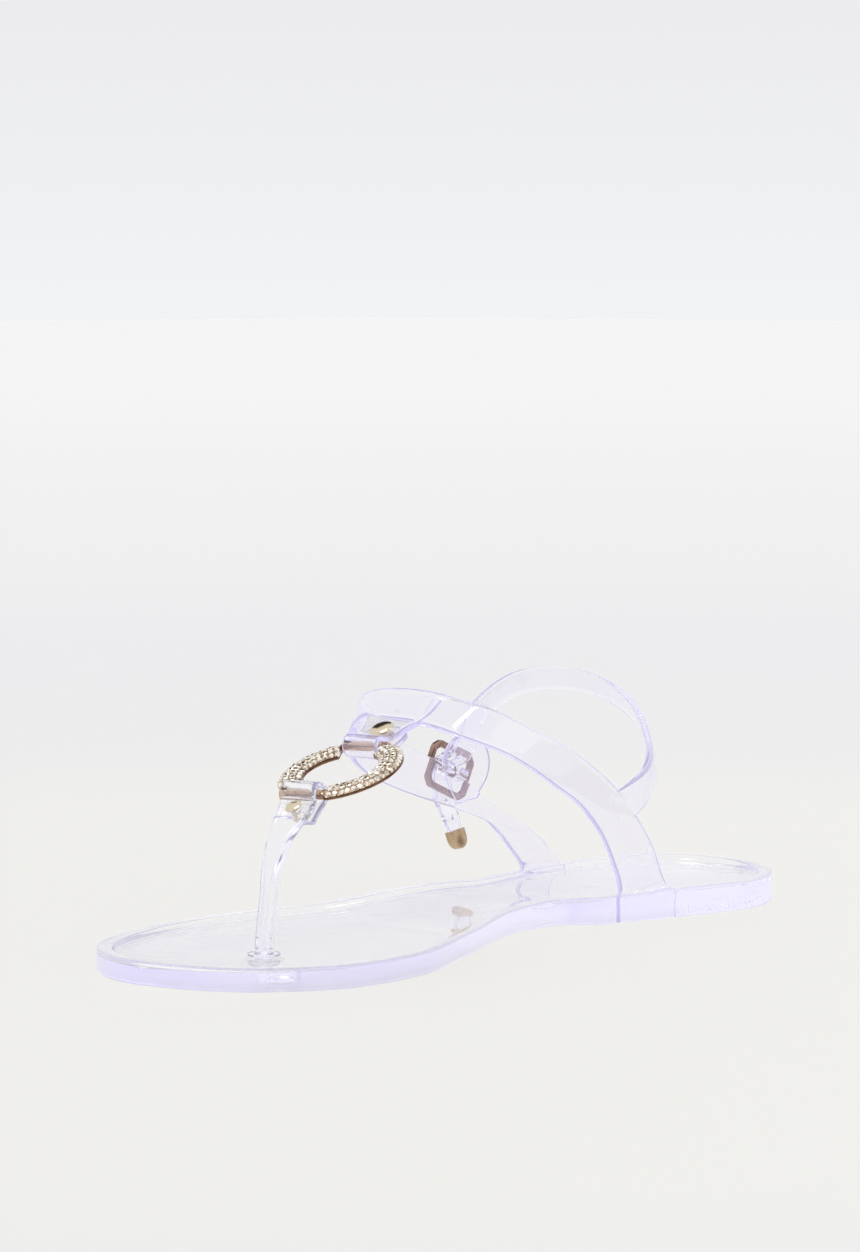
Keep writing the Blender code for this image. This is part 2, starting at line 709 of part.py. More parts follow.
def build_ear():
    """Rounded ear on the lateral arm, with two lugs round the buckle's bar."""
    across, down, out, centre = buckle_axes()
    middle = shares(*EAR_CENTRE)
    half = STRAP_THICKNESS / 2 * 0.95
    steps = 20
    plate = []
    for side in (-half, half):
        ring = []
        for k in range(steps):
            angle = math.radians(-35 + 250 * k / (steps - 1))
            ring.append(middle + Vector((math.cos(angle), 0, math.sin(angle))) * EAR_RADIUS + Vector((0, side, 0)))
        ring.append(middle + Vector((-0.40, 0, -1.05)) * EAR_RADIUS + Vector((0, side, 0)))
        ring.append(middle + Vector((0.45, 0, -1.15)) * EAR_RADIUS + Vector((0, side, 0)))
        plate.append(ring)
    ear = loft("ear", plate)
    reach = (centre - middle).dot(out) - half
    radius = BUCKLE_BAR_RADIUS + CLEARANCE + LUG_WALL
    for offset in (-LUG_WIDTH, LUG_WIDTH):
        spot = centre + across * offset
        size = (LUG_WIDTH, radius * 1.5, reach + half * 0.5)
        web = block("web", spot - out * (reach + half * 0.5) / 2, (across, down, out), size)
        barrel = rod("barrel", spot - across * LUG_WIDTH / 2 * 1.02, spot + across * LUG_WIDTH / 2 * 1.02, radius)
        combine(ear, [web, barrel], "UNION")
    reach_out = across * BUCKLE_WIDTH
    bore = rod("bore", centre - reach_out, centre + reach_out, BUCKLE_BAR_RADIUS + CLEARANCE)
    return combine(ear, [bore], "DIFFERENCE")


def build_upper(outline, mat):
    """One moulded upper: arms, vamp, tongue, ear, ankle strap and its free end."""
    rear, front = arm_edges(outline)
    upper = strip("upper", rear, front, STRAP_THICKNESS, -STRAP_THICKNESS / 2)
    path, widths = tongue_path()
    tongue = ribbon("tongue", path, widths, t_bar_across(), TONGUE_THICKNESS)
    edges = ankle_rows()
    ankle = strip("ankle", smooth_path(edges[0], 3), smooth_path(edges[1], 3), ANKLE_STRAP_THICKNESS)
    low, axis, spread = rivet_axis()
    hole = rod("hole", low - axis * 3, low + axis * (spread + 4), RIVET_SHANK + CLEARANCE)
    across, down, out, centre = buckle_axes()
    slot = block("slot", centre - down * 3.5 + out * 1.2, (across, down, out),
                 (2 * (PRONG_RADIUS + CLEARANCE), 5.3, 5.6))
    combine(ankle, [slot], "DIFFERENCE")
    for along in FREE_END_HOLES:
        middle = free_end_point(along)
        punch = rod("punch", middle - out * 4, middle + out * 4, STRAP_HOLE / 2, 12)
        combine(ankle, [punch], "DIFFERENCE")
    combine(upper, [tongue, ankle, build_ear()], "UNION")
    combine(upper, [hole], "DIFFERENCE")
    return finish(upper, mat, 32.0)


def free_end_point(along):
    """Point on the middle of the strap's free end, a distance along the buckle."""
    across, down, out, centre = buckle_axes()
    for a, b in zip(FREE_END, FREE_END[1:]):
        if a[0] <= along <= b[0]:
            t = (along - a[0]) / (b[0] - a[0])
            off = a[1] + (b[1] - a[1]) * t
            aside = a[2] + (b[2] - a[2]) * t
            return centre + down * along + out * off + across * aside
    return centre


def build_post(mat):
    """Toe post: loop round the ring's front bar, tapering strap, collar and plug."""
    forward, across, normal = ring_axes()
    _, bar, _ = ring_bars()
    arc = loop_round(bar, 236, -14, loop_radius(POST_THICKNESS), forward, normal, 12)
    points = [post_point(*row) for row in POST_TAIL] + arc
    points += [post_point(u, h, away) for u, h, _, _, away in POST_ROWS]
    wide = [POST_TOP_WIDTH] * (len(POST_TAIL) + len(arc))
    deep = [POST_THICKNESS] * len(wide)
    for _, _, w, d, _ in POST_ROWS:
        wide.append(POST_WIDTH + (POST_TOP_WIDTH - POST_WIDTH) * w)
        deep.append(POST_THICKNESS + (POST_DEPTH - POST_THICKNESS) * d)
    base_x = POST_BASE * SOLE_LENGTH
    foot = footbed_height(base_x) - FOOTBED_CUP
    points.append(post_axis(foot + COLLAR_HEIGHT * 0.5))
    wide.append(POST_WIDTH)
    deep.append(POST_DEPTH)
    steps = 2
    path = smooth_path(points, steps)
    sizes = smooth_path([Vector((w, d, i)) for i, (w, d) in enumerate(zip(wide, deep))], steps)
    sections = []
    corners = 12
    for point, run, size in zip(path, tangents(path), sizes):
        face = run.cross(across).normalized()
        section = []
        for k in range(corners):
            angle = 2 * math.pi * (k + 0.5) / corners
            c = math.cos(angle)
            s = math.sin(angle)
            power = 0.55
            section.append(point + across * math.copysign(abs(c) ** power, c) * size.x / 2
                           + face * math.copysign(abs(s) ** power, s) * size.y / 2)
        sections.append(section)
    post = loft("toe_post", sections)
    seat = foot + CLEARANCE + FOOTBED_CUP
    collar = (
        (0, seat), (COLLAR_RADIUS, seat), (COLLAR_RADIUS, seat + COLLAR_HEIGHT * 0.45),
        (COLLAR_RADIUS * 0.72, seat + COLLAR_HEIGHT), (0, seat + COLLAR_HEIGHT * 1.6),
    )
    stem = POST_WIDTH / 2
    low = plug_top() - PLUG_THICKNESS
    plug = (
        (0, low), (PLUG_RADIUS * 0.92, low), (PLUG_RADIUS, low + 0.4), (PLUG_RADIUS, plug_top()),
        (stem, plug_top()), (stem, seat + COLLAR_HEIGHT * 0.4), (0, seat + COLLAR_HEIGHT * 0.4),
    )
    up = Vector((0, 0, 1))
    base = post_axis(0)
    combine(post, [turned("collar", collar, base, up, 24), turned("plug", plug, base, up, 24)], "UNION")
    tail, axis, spread = post_rivet_axis()
    combine(post, [rod("hole", tail - axis * 3, tail + axis * (spread + 3), RIVET_SHANK + CLEARANCE)], "DIFFERENCE")
    return finish(post, mat, 40.0)


def post_rivet_axis():
    """Middle of the post's tail, direction to the strap in front of it and the way there."""
    tail = post_point(*POST_TAIL[0]).lerp(post_point(*POST_TAIL[1]), 0.5)
    high, low = [post_point(u, h, away) for u, h, _, _, away in POST_ROWS[:2]]
    front = high.lerp(low, 0.4)
    way = front - tail
    return tail, way.normalized(), way.length


def build_post_rivet(mat):
    """Small rivet through the post and its tail, under the ring's front bar."""
    tail, axis, spread = post_rivet_axis()
    foot = tail - axis * (POST_THICKNESS / 2 + CLEARANCE)
    grip = spread + POST_THICKNESS + 2 * CLEARANCE
    profile = rivet_profile(POST_RIVET_RADIUS, RIVET_DOME * 0.7, grip, POST_RIVET_RADIUS * 0.8)
    return finish(turned("post_rivet", profile, foot, axis, 24), mat, 40.0)


def build_buckle(mat):
    """Buckle frame with cut corners and the bar across its middle."""
    across, down, out, centre = buckle_axes()
    half = BUCKLE_THICKNESS / 2
    ease = 0.35

    def frame_outline(width, length, cut):
        w = width / 2
        d = length / 2
        corners = (
            (-w, -d + cut), (-w + cut, -d), (w - cut, -d), (w, -d + cut),
            (w, d - cut), (w - cut, d), (-w + cut, d), (-w, d - cut),
        )
        return [centre + across * a + down * b for a, b in corners]

    levels = ((0.0, -half + ease), (0.0, half - ease), (ease, half), (BUCKLE_RAIL - ease, half),
              (BUCKLE_RAIL, half - ease), (BUCKLE_RAIL, -half + ease), (BUCKLE_RAIL - ease, -half), (ease, -half))
    rings = []
    for inset, level in levels:
        cut = 2.2 - inset * 0.5
        ring = frame_outline(BUCKLE_WIDTH - 2 * inset, BUCKLE_LENGTH - 2 * inset, cut)
        rings.append([p + out * level for p in ring])
    sections = [[ring[i] for ring in rings] for i in range(8)]
    frame = loft("buckle_frame", sections, closed=True)
    reach = across * (BUCKLE_WIDTH / 2 - BUCKLE_RAIL / 2)
    bar = rod("bar", centre - reach, centre + reach, BUCKLE_BAR_RADIUS, 12)
    combine(frame, [bar], "UNION")
    return finish(frame, mat, 30.0)


def build_prong(mat):
    """Prong that turns on the bar between the lugs and rests on the top rail."""
    across, down, out, centre = buckle_axes()
    half_width = LUG_WIDTH / 2 - CLEARANCE
    outer = BUCKLE_BAR_RADIUS + CLEARANCE + 0.8
    collar = rod("buckle_prong", centre - across * half_width, centre + across * half_width, outer, 16)
    rest = BUCKLE_THICKNESS / 2 + CLEARANCE + PRONG_RADIUS
    start = centre + out * rest * 0.7 - down * PRONG_RADIUS
    end = centre + out * rest - down * (BUCKLE_LENGTH / 2 - 0.2)
    combine(collar, [rod("pin", start, end, PRONG_RADIUS, 12)], "UNION")
    eye_half = across * (half_width + 1)
    eye = rod("eye", centre - eye_half, centre + eye_half, BUCKLE_BAR_RADIUS + CLEARANCE, 16)
    return finish(combine(collar, [eye], "DIFFERENCE"), mat, 40.0)


def build_tip(mat):
    """Rounded metal cap over the end of the strap, open towards the buckle."""
    upper, lower = ankle_rows()
    middle = upper[-1].lerp(lower[-1], 0.5)
    side = (lower[-1] - upper[-1]).normalized()
    before = upper[-2].lerp(lower[-2], 0.5)
    run = (middle - before).normalized()
    side = (side - run * side.dot(run)).normalized()
    face = side.cross(run).normalized()

    def slab(name, width, thick, tail, nose, cut):
        w = width / 2
        outline = [(-w, -tail), (w, -tail), (w, nose - cut)]
        for k in range(1, 8):
            angle = math.pi * k / 8
            outline.append((w * math.cos(angle), nose - cut + cut * math.sin(angle)))
        outline.append((-w, nose - cut))
        return loft(name, [
            [middle + side * a + run * b + face * level for a, b in outline]
            for level in (-thick / 2, thick / 2)
        ])

    wall = CLEARANCE + TIP_WALL
    strap = (lower[-1] - upper[-1]).length
    width = strap + 2 * (wall + CLEARANCE * 0.5)
    thick = ANKLE_STRAP_THICKNESS + 2 * wall
    tip = slab("strap_tip", width, thick, TIP_LENGTH * 0.55, TIP_LENGTH * 0.45, TIP_LENGTH * 0.4)
    edges = [smooth_path(edge, 3)[-8:] for edge in (upper, lower)]
    rear = [a + (a - b).normalized() * CLEARANCE for a, b in zip(*edges)]
    front = [b + (b - a).normalized() * CLEARANCE for a, b in zip(*edges)]
    rear.append(rear[-1] + run * CLEARANCE)
    front.append(front[-1] + run * CLEARANCE)
    inner = strip("inner", rear, front, ANKLE_STRAP_THICKNESS + 2 * CLEARANCE)
    return finish(combine(tip, [inner], "DIFFERENCE"), mat, 40.0)


def place_on_origin(pieces):
    """Turn the pieces to metres with the origin under the middle of their box."""
    corners = [obj.matrix_world @ vert.co for obj in pieces for vert in obj.data.vertices]
    low = Vector([min(c[i] for c in corners) for i in range(3)])
    high = Vector([max(c[i] for c in corners) for i in range(3)])
    shift = Vector(((low.x + high.x) / 2, (low.y + high.y) / 2, low.z))
    sandal = bpy.data.objects.new("sandal", None)
    bpy.context.collection.objects.link(sandal)
    for obj in pieces:
        obj.data.transform(Matrix.Translation(-shift))
        obj.data.transform(Matrix.Scale(MILLIMETRE, 4))
        obj.parent = sandal


def main():
    """Build every piece of the sandal."""
    for obj in list(bpy.data.objects):
        bpy.data.objects.remove(obj)
    clear = material("clear PVC", (0.90, 0.90, 0.97), 0.06, 0.0, 0.9)
    clear_sole = material("clear PVC sole", (0.88, 0.88, 0.97), 0.08, 0.0, 0.9)
    clear_post = material("clear PVC post", (0.90, 0.90, 0.97), 0.06, 0.0, 0.9)
    gold = material("rose gold plate", (0.62, 0.42, 0.33), 0.22, 1.0)
    rivet_gold = material("rivet gold", (0.66, 0.52, 0.44), 0.20, 1.0)
    post_rivet_gold = material("post rivet gold", (0.66, 0.52, 0.44), 0.24, 1.0)
    buckle_gold = material("buckle gold", (0.60, 0.44, 0.38), 0.22, 1.0)
    prong_gold = material("prong gold", (0.58, 0.42, 0.36), 0.24, 1.0)
    tip_gold = material("tip gold", (0.60, 0.48, 0.40), 0.26, 1.0)
    outline = Outline()
    pieces = [
        build_sole(outline, clear_sole),
        build_upper(outline, clear),
        build_post(clear_post),
        build_ring(gold),
        build_tab_rivet(rivet_gold),
        build_post_rivet(post_rivet_gold),
        build_buckle(buckle_gold),
        build_prong(prong_gold),
        build_tip(tip_gold),
    ]
    place_on_origin(pieces)


main()
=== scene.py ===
"""Clear moulded jelly sandal with a stone-set ring: the dressed model and its studio.

The frame gives the CAD nodes and their box. Each piece is built here again with a finer
mesh, from the sizes of its CAD node except the tab rivet's grip, and gets its finish.
Sizes are millimetres in the last's own frame, with the heel at x = 0, until to_metres
shifts a finished mesh into the frame of the part.
"""
import json
import logging
import math
from dataclasses import dataclass, field
from enum import Enum
from typing import Callable, Iterable, Sequence

import bmesh
import bpy
from mathutils import Matrix, Vector

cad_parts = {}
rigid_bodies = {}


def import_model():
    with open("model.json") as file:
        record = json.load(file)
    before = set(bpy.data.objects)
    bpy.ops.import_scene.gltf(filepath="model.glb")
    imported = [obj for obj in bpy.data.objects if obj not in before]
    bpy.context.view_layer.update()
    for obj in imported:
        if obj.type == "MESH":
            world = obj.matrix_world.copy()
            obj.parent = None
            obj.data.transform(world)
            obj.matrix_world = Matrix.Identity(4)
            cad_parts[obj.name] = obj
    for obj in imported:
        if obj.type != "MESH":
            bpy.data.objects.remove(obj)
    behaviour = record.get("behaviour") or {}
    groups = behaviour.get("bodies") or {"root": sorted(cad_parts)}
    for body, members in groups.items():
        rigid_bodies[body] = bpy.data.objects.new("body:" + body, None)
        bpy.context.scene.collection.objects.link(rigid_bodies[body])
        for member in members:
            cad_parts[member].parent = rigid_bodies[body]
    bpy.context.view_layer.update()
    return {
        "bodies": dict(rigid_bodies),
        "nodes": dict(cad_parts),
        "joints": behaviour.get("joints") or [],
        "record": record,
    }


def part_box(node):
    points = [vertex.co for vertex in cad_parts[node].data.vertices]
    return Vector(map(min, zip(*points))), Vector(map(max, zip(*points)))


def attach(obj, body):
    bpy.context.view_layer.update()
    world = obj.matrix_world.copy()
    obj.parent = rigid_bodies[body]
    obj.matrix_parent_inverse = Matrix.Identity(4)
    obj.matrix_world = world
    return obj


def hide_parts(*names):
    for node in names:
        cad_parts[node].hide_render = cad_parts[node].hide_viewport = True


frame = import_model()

LOG = logging.getLogger("sandal")
Row = tuple[float, ...]
Profile = Sequence[tuple[float, float]]

# The frame's origin in the last's frame, the unit, and how near two points are one point
ORIGIN = Vector((125.0, 0.7305, 0.0))
MILLIMETRE = 0.001
SEAM = 0.001


class Body(Enum):
    """The frame's one body."""

    ROOT = "root"


class Slot(Enum):
    """Material slots of the record."""

    SOLE = "clear_sole"
    UPPER = "clear_upper"
    POST = "clear_post"
    RING = "ring_metal"
    TAB_RIVET = "tab_rivet_metal"
    POST_RIVET = "post_rivet_metal"
    BUCKLE = "buckle_metal"
    PRONG = "prong_metal"
    TIP = "tip_metal"


@dataclass(frozen=True)
class Last:
    """Sizes that the sole and the upper share."""

    length: float = 250.0
    ball_width: float = 86.5
    instep: float = 69.0
    ankle: float = 67.5
    gap: float = 0.3


LAST = Last()

# Sole outline: shares of the sole length, then of the ball width to each side
OUTLINE: Sequence[Row] = (
    # station, medial, lateral
    (0.015, 0.148, 0.186),
    (0.050, 0.289, 0.282),
    (0.120, 0.380, 0.350),
    (0.200, 0.347, 0.368),
    (0.300, 0.279, 0.349),
    (0.400, 0.224, 0.342),
    (0.500, 0.253, 0.379),
    (0.600, 0.365, 0.449),
    (0.700, 0.491, 0.494),
    (0.800, 0.506, 0.471),
    (0.880, 0.438, 0.379),
    (0.940, 0.354, 0.244),
    (0.985, 0.213, 0.060),
)
TOE_TIP: Row = (1.0, 0.102)

# Arms and vamp, medial to lateral: shares of sole length, ball width and instep height
ARM_ROWS: Sequence[Row] = (
    # rear edge: station, side, height; front edge: station, side, height
    (0.250, 0.318, 0.145, 0.324, 0.306, 0.150),
    (0.274, 0.320, 0.305, 0.342, 0.309, 0.300),
    (0.300, 0.316, 0.440, 0.362, 0.308, 0.415),
    (0.330, 0.300, 0.570, 0.394, 0.305, 0.530),
    (0.374, 0.291, 0.690, 0.427, 0.302, 0.605),
    (0.420, 0.278, 0.786, 0.459, 0.292, 0.680),
    (0.460, 0.257, 0.856, 0.500, 0.272, 0.763),
    (0.504, 0.207, 0.946, 0.545, 0.228, 0.833),
    (0.528, 0.163, 0.973, 0.573, 0.177, 0.878),
    (0.542, 0.097, 0.999, 0.588, 0.116, 0.901),
    (0.549, -0.030, 1.010, 0.592, 0.000, 0.905),
    (0.562, -0.150, 0.997, 0.588, -0.116, 0.899),
    (0.553, -0.243, 0.942, 0.570, -0.240, 0.815),
    (0.520, -0.312, 0.841, 0.546, -0.312, 0.700),
    (0.472, -0.347, 0.754, 0.506, -0.347, 0.609),
    (0.424, -0.360, 0.681, 0.468, -0.357, 0.550),
    (0.376, -0.367, 0.610, 0.414, -0.366, 0.480),
    (0.310, -0.369, 0.450, 0.354, -0.370, 0.413),
    (0.279, -0.371, 0.383, 0.304, -0.371, 0.343),
    (0.250, -0.373, 0.333, 0.283, -0.373, 0.284),
    (0.222, -0.374, 0.267, 0.264, -0.374, 0.213),
    (0.200, -0.374, 0.203, 0.247, -0.374, 0.146),
)

# Tongue: over the ring's rear bar, round it and back underneath
TONGUE_OUT: Sequence[Row] = (
    # station, height, width share
    (0.556, 0.973, 1.45),
    (0.572, 0.936, 1.47),
    (0.588, 0.896, 1.36),
    (0.6035, 0.867, 1.10),
    (0.616, 0.8455, 0.95),
    (0.627, 0.8385, 0.88),
)
TONGUE_BACK: Sequence[Row] = (
    # station, height, width share
    (0.6260, 0.782, 0.86),
    (0.6150, 0.8025, 0.90),
    (0.6035, 0.8245, 0.92),
    (0.5940, 0.8425, 0.85),
    (0.5880, 0.8520, 0.52),
)

# Toe post: the end that lies behind it, then the strap from the bar to the footbed
POST_TAIL: Sequence[Row] = (
    # station, height, share of the way to the medial side
    (0.7590, 0.556, 0.50),
    (0.7500, 0.583, 0.40),
)
POST_ROWS: Sequence[Row] = (
    # station, height, width share, depth share, share of the way to the medial side
    (0.7575, 0.612, 1.00, 0.00, 0.40),
    (0.7650, 0.589, 0.92, 0.06, 0.50),
    (0.7760, 0.556, 0.74, 0.25, 0.63),
    (0.7890, 0.512, 0.48, 0.60, 0.80),
    (0.8000, 0.458, 0.30, 0.90, 1.00),
    (0.8075, 0.385, 0.08, 1.00, 1.00),
    (0.8120, 0.272, 0.00, 1.00, 0.97),
    (0.8160, 0.172, 0.00, 1.00, 0.90),
)

# Ankle strap round the heel: its upper edge, width and direction to the lower edge
ANKLE_ROWS: Sequence[tuple[float, float, float, float, Row]] = (
    # station, side, share of ankle height, share of strap width, direction down
    (0.342, 0.2955, 0.560, 1.00, (-0.45, 0.03, -0.88)),
    (0.322, 0.2935, 0.575, 1.00, (-0.50, 0.06, -0.85)),
    (0.300, 0.283, 0.600, 0.97, (-0.40, 0.03, -0.92)),
    (0.252, 0.220, 0.640, 0.93, (-0.30, -0.05, -0.95)),
    (0.204, 0.116, 0.700, 0.90, (-0.34, -0.05, -0.94)),
    (0.176, 0.023, 0.770, 0.88, (-0.38, 0.00, -0.92)),
    (0.154, -0.070, 0.835, 0.86, (-0.40, 0.00, -0.92)),
    (0.146, -0.160, 0.900, 0.84, (-0.38, 0.05, -0.92)),
    (0.152, -0.245, 0.955, 0.80, (-0.33, 0.10, -0.94)),
    (0.172, -0.325, 0.990, 0.77, (-0.28, 0.15, -0.95)),
    (0.212, -0.378, 1.000, 0.75, (-0.25, 0.15, -0.95)),
    (0.252, -0.397, 0.978, 0.74, (-0.42, 0.08, -0.90)),
    (0.290, -0.402, 0.920, 0.74, (-0.60, 0.05, -0.80)),
    (0.324, -0.398, 0.835, 0.74, (-0.74, 0.00, -0.67)),
)
FREE_END: Sequence[Row] = (
    # along the buckle, off its plane, across it, turn in degrees, width share
    (-9.5, -2.05, 1.4, -8.0, 1.00),
    (-7.4, -2.15, 1.0, -4.0, 1.00),
    (-5.2, -2.05, 0.7, -2.0, 1.00),
    (-3.9, -0.20, 0.5, -1.0, 1.00),
    (-2.4, 2.30, 0.3, 0.0, 1.00),
    (0.0, 3.40, 0.2, 2.0, 1.00),
    (3.4, 3.10, 0.8, 6.0, 1.00),
    (6.4, 2.30, 2.2, 11.0, 1.00),
    (9.0, 1.60, 4.5, 18.0, 0.97),
    (12.0, 0.90, 7.7, 23.0, 0.88),
    (15.0, 0.20, 10.1, 24.0, 0.72),
    (17.65, -0.50, 11.9, 23.0, 0.56),
)


def smooth_path(points: Iterable[Sequence[float]], steps: int) -> list[Vector]:
    """Centripetal curve through the points.

    Args:
        points: The points that the curve passes.
        steps: Number of steps in each span.

    Returns:
        The points of the curve.
    """
    pts = [Vector(p) for p in points]
    ends = [pts[0] * 2 - pts[1]] + pts + [pts[-1] * 2 - pts[-2]]
    path: list[Vector] = []
    for i in range(len(pts) - 1):
        p0, p1, p2, p3 = ends[i:i + 4]
        t0 = 0.0
        t1 = t0 + max((p1 - p0).length, 1e-6) ** 0.5
        t2 = t1 + max((p2 - p1).length, 1e-6) ** 0.5
        t3 = t2 + max((p3 - p2).length, 1e-6) ** 0.5
        for k in range(steps):
            t = t1 + (t2 - t1) * k / steps
            a1 = p0.lerp(p1, (t - t0) / (t1 - t0))
            a2 = p1.lerp(p2, (t - t1) / (t2 - t1))
            a3 = p2.lerp(p3, (t - t2) / (t3 - t2))
            b1 = a1.lerp(a2, (t - t0) / (t2 - t0))
            b2 = a2.lerp(a3, (t - t1) / (t3 - t1))
            path.append(b1.lerp(b2, (t - t1) / (t2 - t1)))
    path.append(pts[-1])
    return path


def resample(path: Sequence[Vector], steps: int) -> list[Vector]:
    """The path's points at equal lengths along it.

    Args:
        path: Points of a path.
        steps: Number of equal steps.

    Returns:
        One point more than the steps.
    """
    lengths = [0.0]
    for a, b in zip(path, path[1:]):
        lengths.append(lengths[-1] + (b - a).length)
    result: list[Vector] = []
    i = 0
    for k in range(steps + 1):
        target = lengths[-1] * k / steps
        while i < len(path) - 2 and lengths[i + 1] < target:
            i += 1
        span = lengths[i + 1] - lengths[i]
        result.append(path[i].lerp(path[i + 1], (target - lengths[i]) / span))
    return result


def smoothstep(low: float, high: float, value: float) -> float:
    """Smooth change from 0 at low to 1 at high."""
    t = min(max((value - low) / (high - low), 0.0), 1.0)
    return t * t * (3 - 2 * t)


def tangents(path: Sequence[Vector]) -> list[Vector]:
    """Unit direction of the path at each of its points."""
    last = len(path) - 1
    return [(path[min(i + 1, last)] - path[max(i - 1, 0)]).normalized() for i in range(last + 1)]


def shares(station: float, side: float, height: float, tall: float = LAST.instep) -> Vector:
    """Point from shares of the sole length, the ball width and a height."""
    return Vector((station * LAST.length, side * LAST.ball_width, height * tall))


def mesh_object(name: str, verts: Sequence[Vector], faces: Sequence[Sequence[int]]) -> bpy.types.Object:
    """A closed mesh in the scene, in millimetres, with its faces pointing out.

    Args:
        name: Name of the piece.
        verts: Points in millimetres.
        faces: Faces as rows of point numbers.

    Returns:
        The new object.
    """
    mesh = bpy.data.meshes.new(name)
    mesh.from_pydata([tuple(v) for v in verts], [], faces)
    bm = bmesh.new()
    bm.from_mesh(mesh)
    bmesh.ops.recalc_face_normals(bm, faces=bm.faces)
    if bm.calc_volume(signed=True) < 0:
        bmesh.ops.reverse_faces(bm, faces=bm.faces)
    bm.to_mesh(mesh)
    bm.free()
    obj = bpy.data.objects.new(name, mesh)
    bpy.context.scene.collection.objects.link(obj)
    return obj


def loft(name: str, sections: Sequence[Sequence[Vector]], closed: bool = False) -> bpy.types.Object:
    """Closed solid through sections that have as many points each.

    Args:
        name: Name of the piece.
        sections: Rings of points, one after the other.
        closed: Whether the last section joins the first.

    Returns:
        The new object.
    """
    count = len(sections[0])
    verts = [p for section in sections for p in section]
    faces: list[tuple[int, ...]] = []
    spans = len(sections) if closed else len(sections) - 1
    for i in range(spans):
        a = i * count
        b = (i + 1) % len(sections) * count
        for j in range(count):
            k = (j + 1) % count
            faces.append((a + j, a + k, b + k, b + j))
    if not closed:
        faces.append(tuple(range(count)))
        faces.append(tuple(range(len(verts) - count, len(verts))))
    return mesh_object(name, verts, faces)


def turned(name: str, profile: Profile, place: Vector, axis: Vector, segments: int = 48) -> bpy.types.Object:
    """Solid turned about an axis.

    Args:
        name: Name of the piece.
        profile: Radius and height pairs that start and end on the axis.
        place: Foot of the axis.
        axis: Direction of the axis.
        segments: Number of steps round it.

    Returns:
        The new object.
    """
    turn = axis.normalized().to_track_quat("Z", "Y").to_matrix()
    verts = [place + turn @ Vector((0, 0, profile[0][1]))]
    for radius, height in profile[1:-1]:
        for k in range(segments):
            angle = 2 * math.pi * k / segments
            verts.append(place + turn @ Vector((radius * math.cos(angle), radius * math.sin(angle), height)))
    verts.append(place + turn @ Vector((0, 0, profile[-1][1])))
    last = len(verts) - 1
    faces: list[tuple[int, ...]] = []
    for k in range(segments):
        j = (k + 1) % segments
        faces.append((0, 1 + j, 1 + k))
        faces.append((last, last - segments + k, last - segments + j))
        for row in range(len(profile) - 3):
            a = 1 + row * segments
            b = a + segments
            faces.append((a + k, a + j, b + j, b + k))
    return mesh_object(name, verts, faces)


def rod(name: str, start: Vector, end: Vector, radius: float, segments: int = 32) -> bpy.types.Object:
    """Round rod between two points."""
    length = (end - start).length
    return turned(name, ((0, 0), (radius, 0), (radius, length), (0, length)), start, end - start, segments)


def block(name: str, centre: Vector, axes: Sequence[Vector], size: Sequence[float]) -> bpy.types.Object:
    """Box about a centre, with three directions and three full sizes."""
    verts = []
    for x in (-0.5, 0.5):
        for y in (-0.5, 0.5):
            for z in (-0.5, 0.5):
                verts.append(centre + axes[0] * size[0] * x + axes[1] * size[1] * y + axes[2] * size[2] * z)
    faces = [(0, 1, 3, 2), (4, 6, 7, 5), (0, 4, 5, 1), (2, 3, 7, 6), (0, 2, 6, 4), (1, 5, 7, 3)]
    return mesh_object(name, verts, faces)


class Join(Enum):
    """How one solid meets another."""

    UNION = "UNION"
    CUT = "DIFFERENCE"


def combine(target: bpy.types.Object, tools: Sequence[bpy.types.Object], how: Join) -> bpy.types.Object:
    """Join tools to the target, or cut it with them, and remove the tools.

    Args:
        target: The solid that stays.
        tools: The solids that are used up.
        how: Whether they are joined or cut out.

    Returns:
        The target.
    """
    for tool in tools:
        modifier = target.modifiers.new(how.name.title(), "BOOLEAN")
        modifier.operation = how.value
        modifier.solver = "EXACT"
        modifier.object = tool
        evaluated = target.evaluated_get(bpy.context.evaluated_depsgraph_get())
        result = bpy.data.meshes.new_from_object(evaluated)
        target.modifiers.clear()
        target.data = result
        bpy.data.objects.remove(tool)
    return target


def band_section(rear: Vector, front: Vector, normal: Vector, thickness: float, ease: float,
                 rise: float = 0.0, spans: int = 6, corner: int = 4) -> list[Vector]:
    """Cross-section of a moulded band with round edges.

    Args:
        rear: One edge of the band's middle.
        front: Its other edge.
        normal: Direction out of the band.
        thickness: Thickness of the band.
        ease: Radius of its edges.
        rise: How far its middle lies off the two edges.
        spans: Steps across each face.
        corner: Steps round each corner.

    Returns:
        The points of the section.
    """
    across = front - rear
    width = across.length
    across.normalize()
    half = thickness / 2
    ease = min(ease, half * 0.95)
    flat: list[tuple[float, float]] = []
    for k in range(1, spans):
        flat.append((ease + (width - 2 * ease) * k / spans, half))
    corners = ((width - ease, half - ease, 90), (width - ease, ease - half, 0),
               (ease, ease - half, -90), (ease, half - ease, -180))
    for index, (s, n, start) in enumerate(corners):
        for k in range(corner + 1):
            angle = math.radians(start - 90 * k / corner)
            flat.append((s + ease * math.cos(angle), n + ease * math.sin(angle)))
        if index == 1:
            for k in range(spans - 1, 0, -1):
                flat.append((ease + (width - 2 * ease) * k / spans, -half))
    return [rear + across * s + normal * (n + rise) for s, n in flat]


def band(name: str, rear: Sequence[Vector], front: Sequence[Vector], thickness: float, ease: float,
         rise: float = 0.0) -> bpy.types.Object:
    """Moulded band between two edges."""
    middle = [a.lerp(b, 0.5) for a, b in zip(rear, front)]
    sections = []
    for a, b, run in zip(rear, front, tangents(middle)):
        sections.append(band_section(a, b, run.cross(b - a).normalized(), thickness, ease, rise))
    return loft(name, sections)


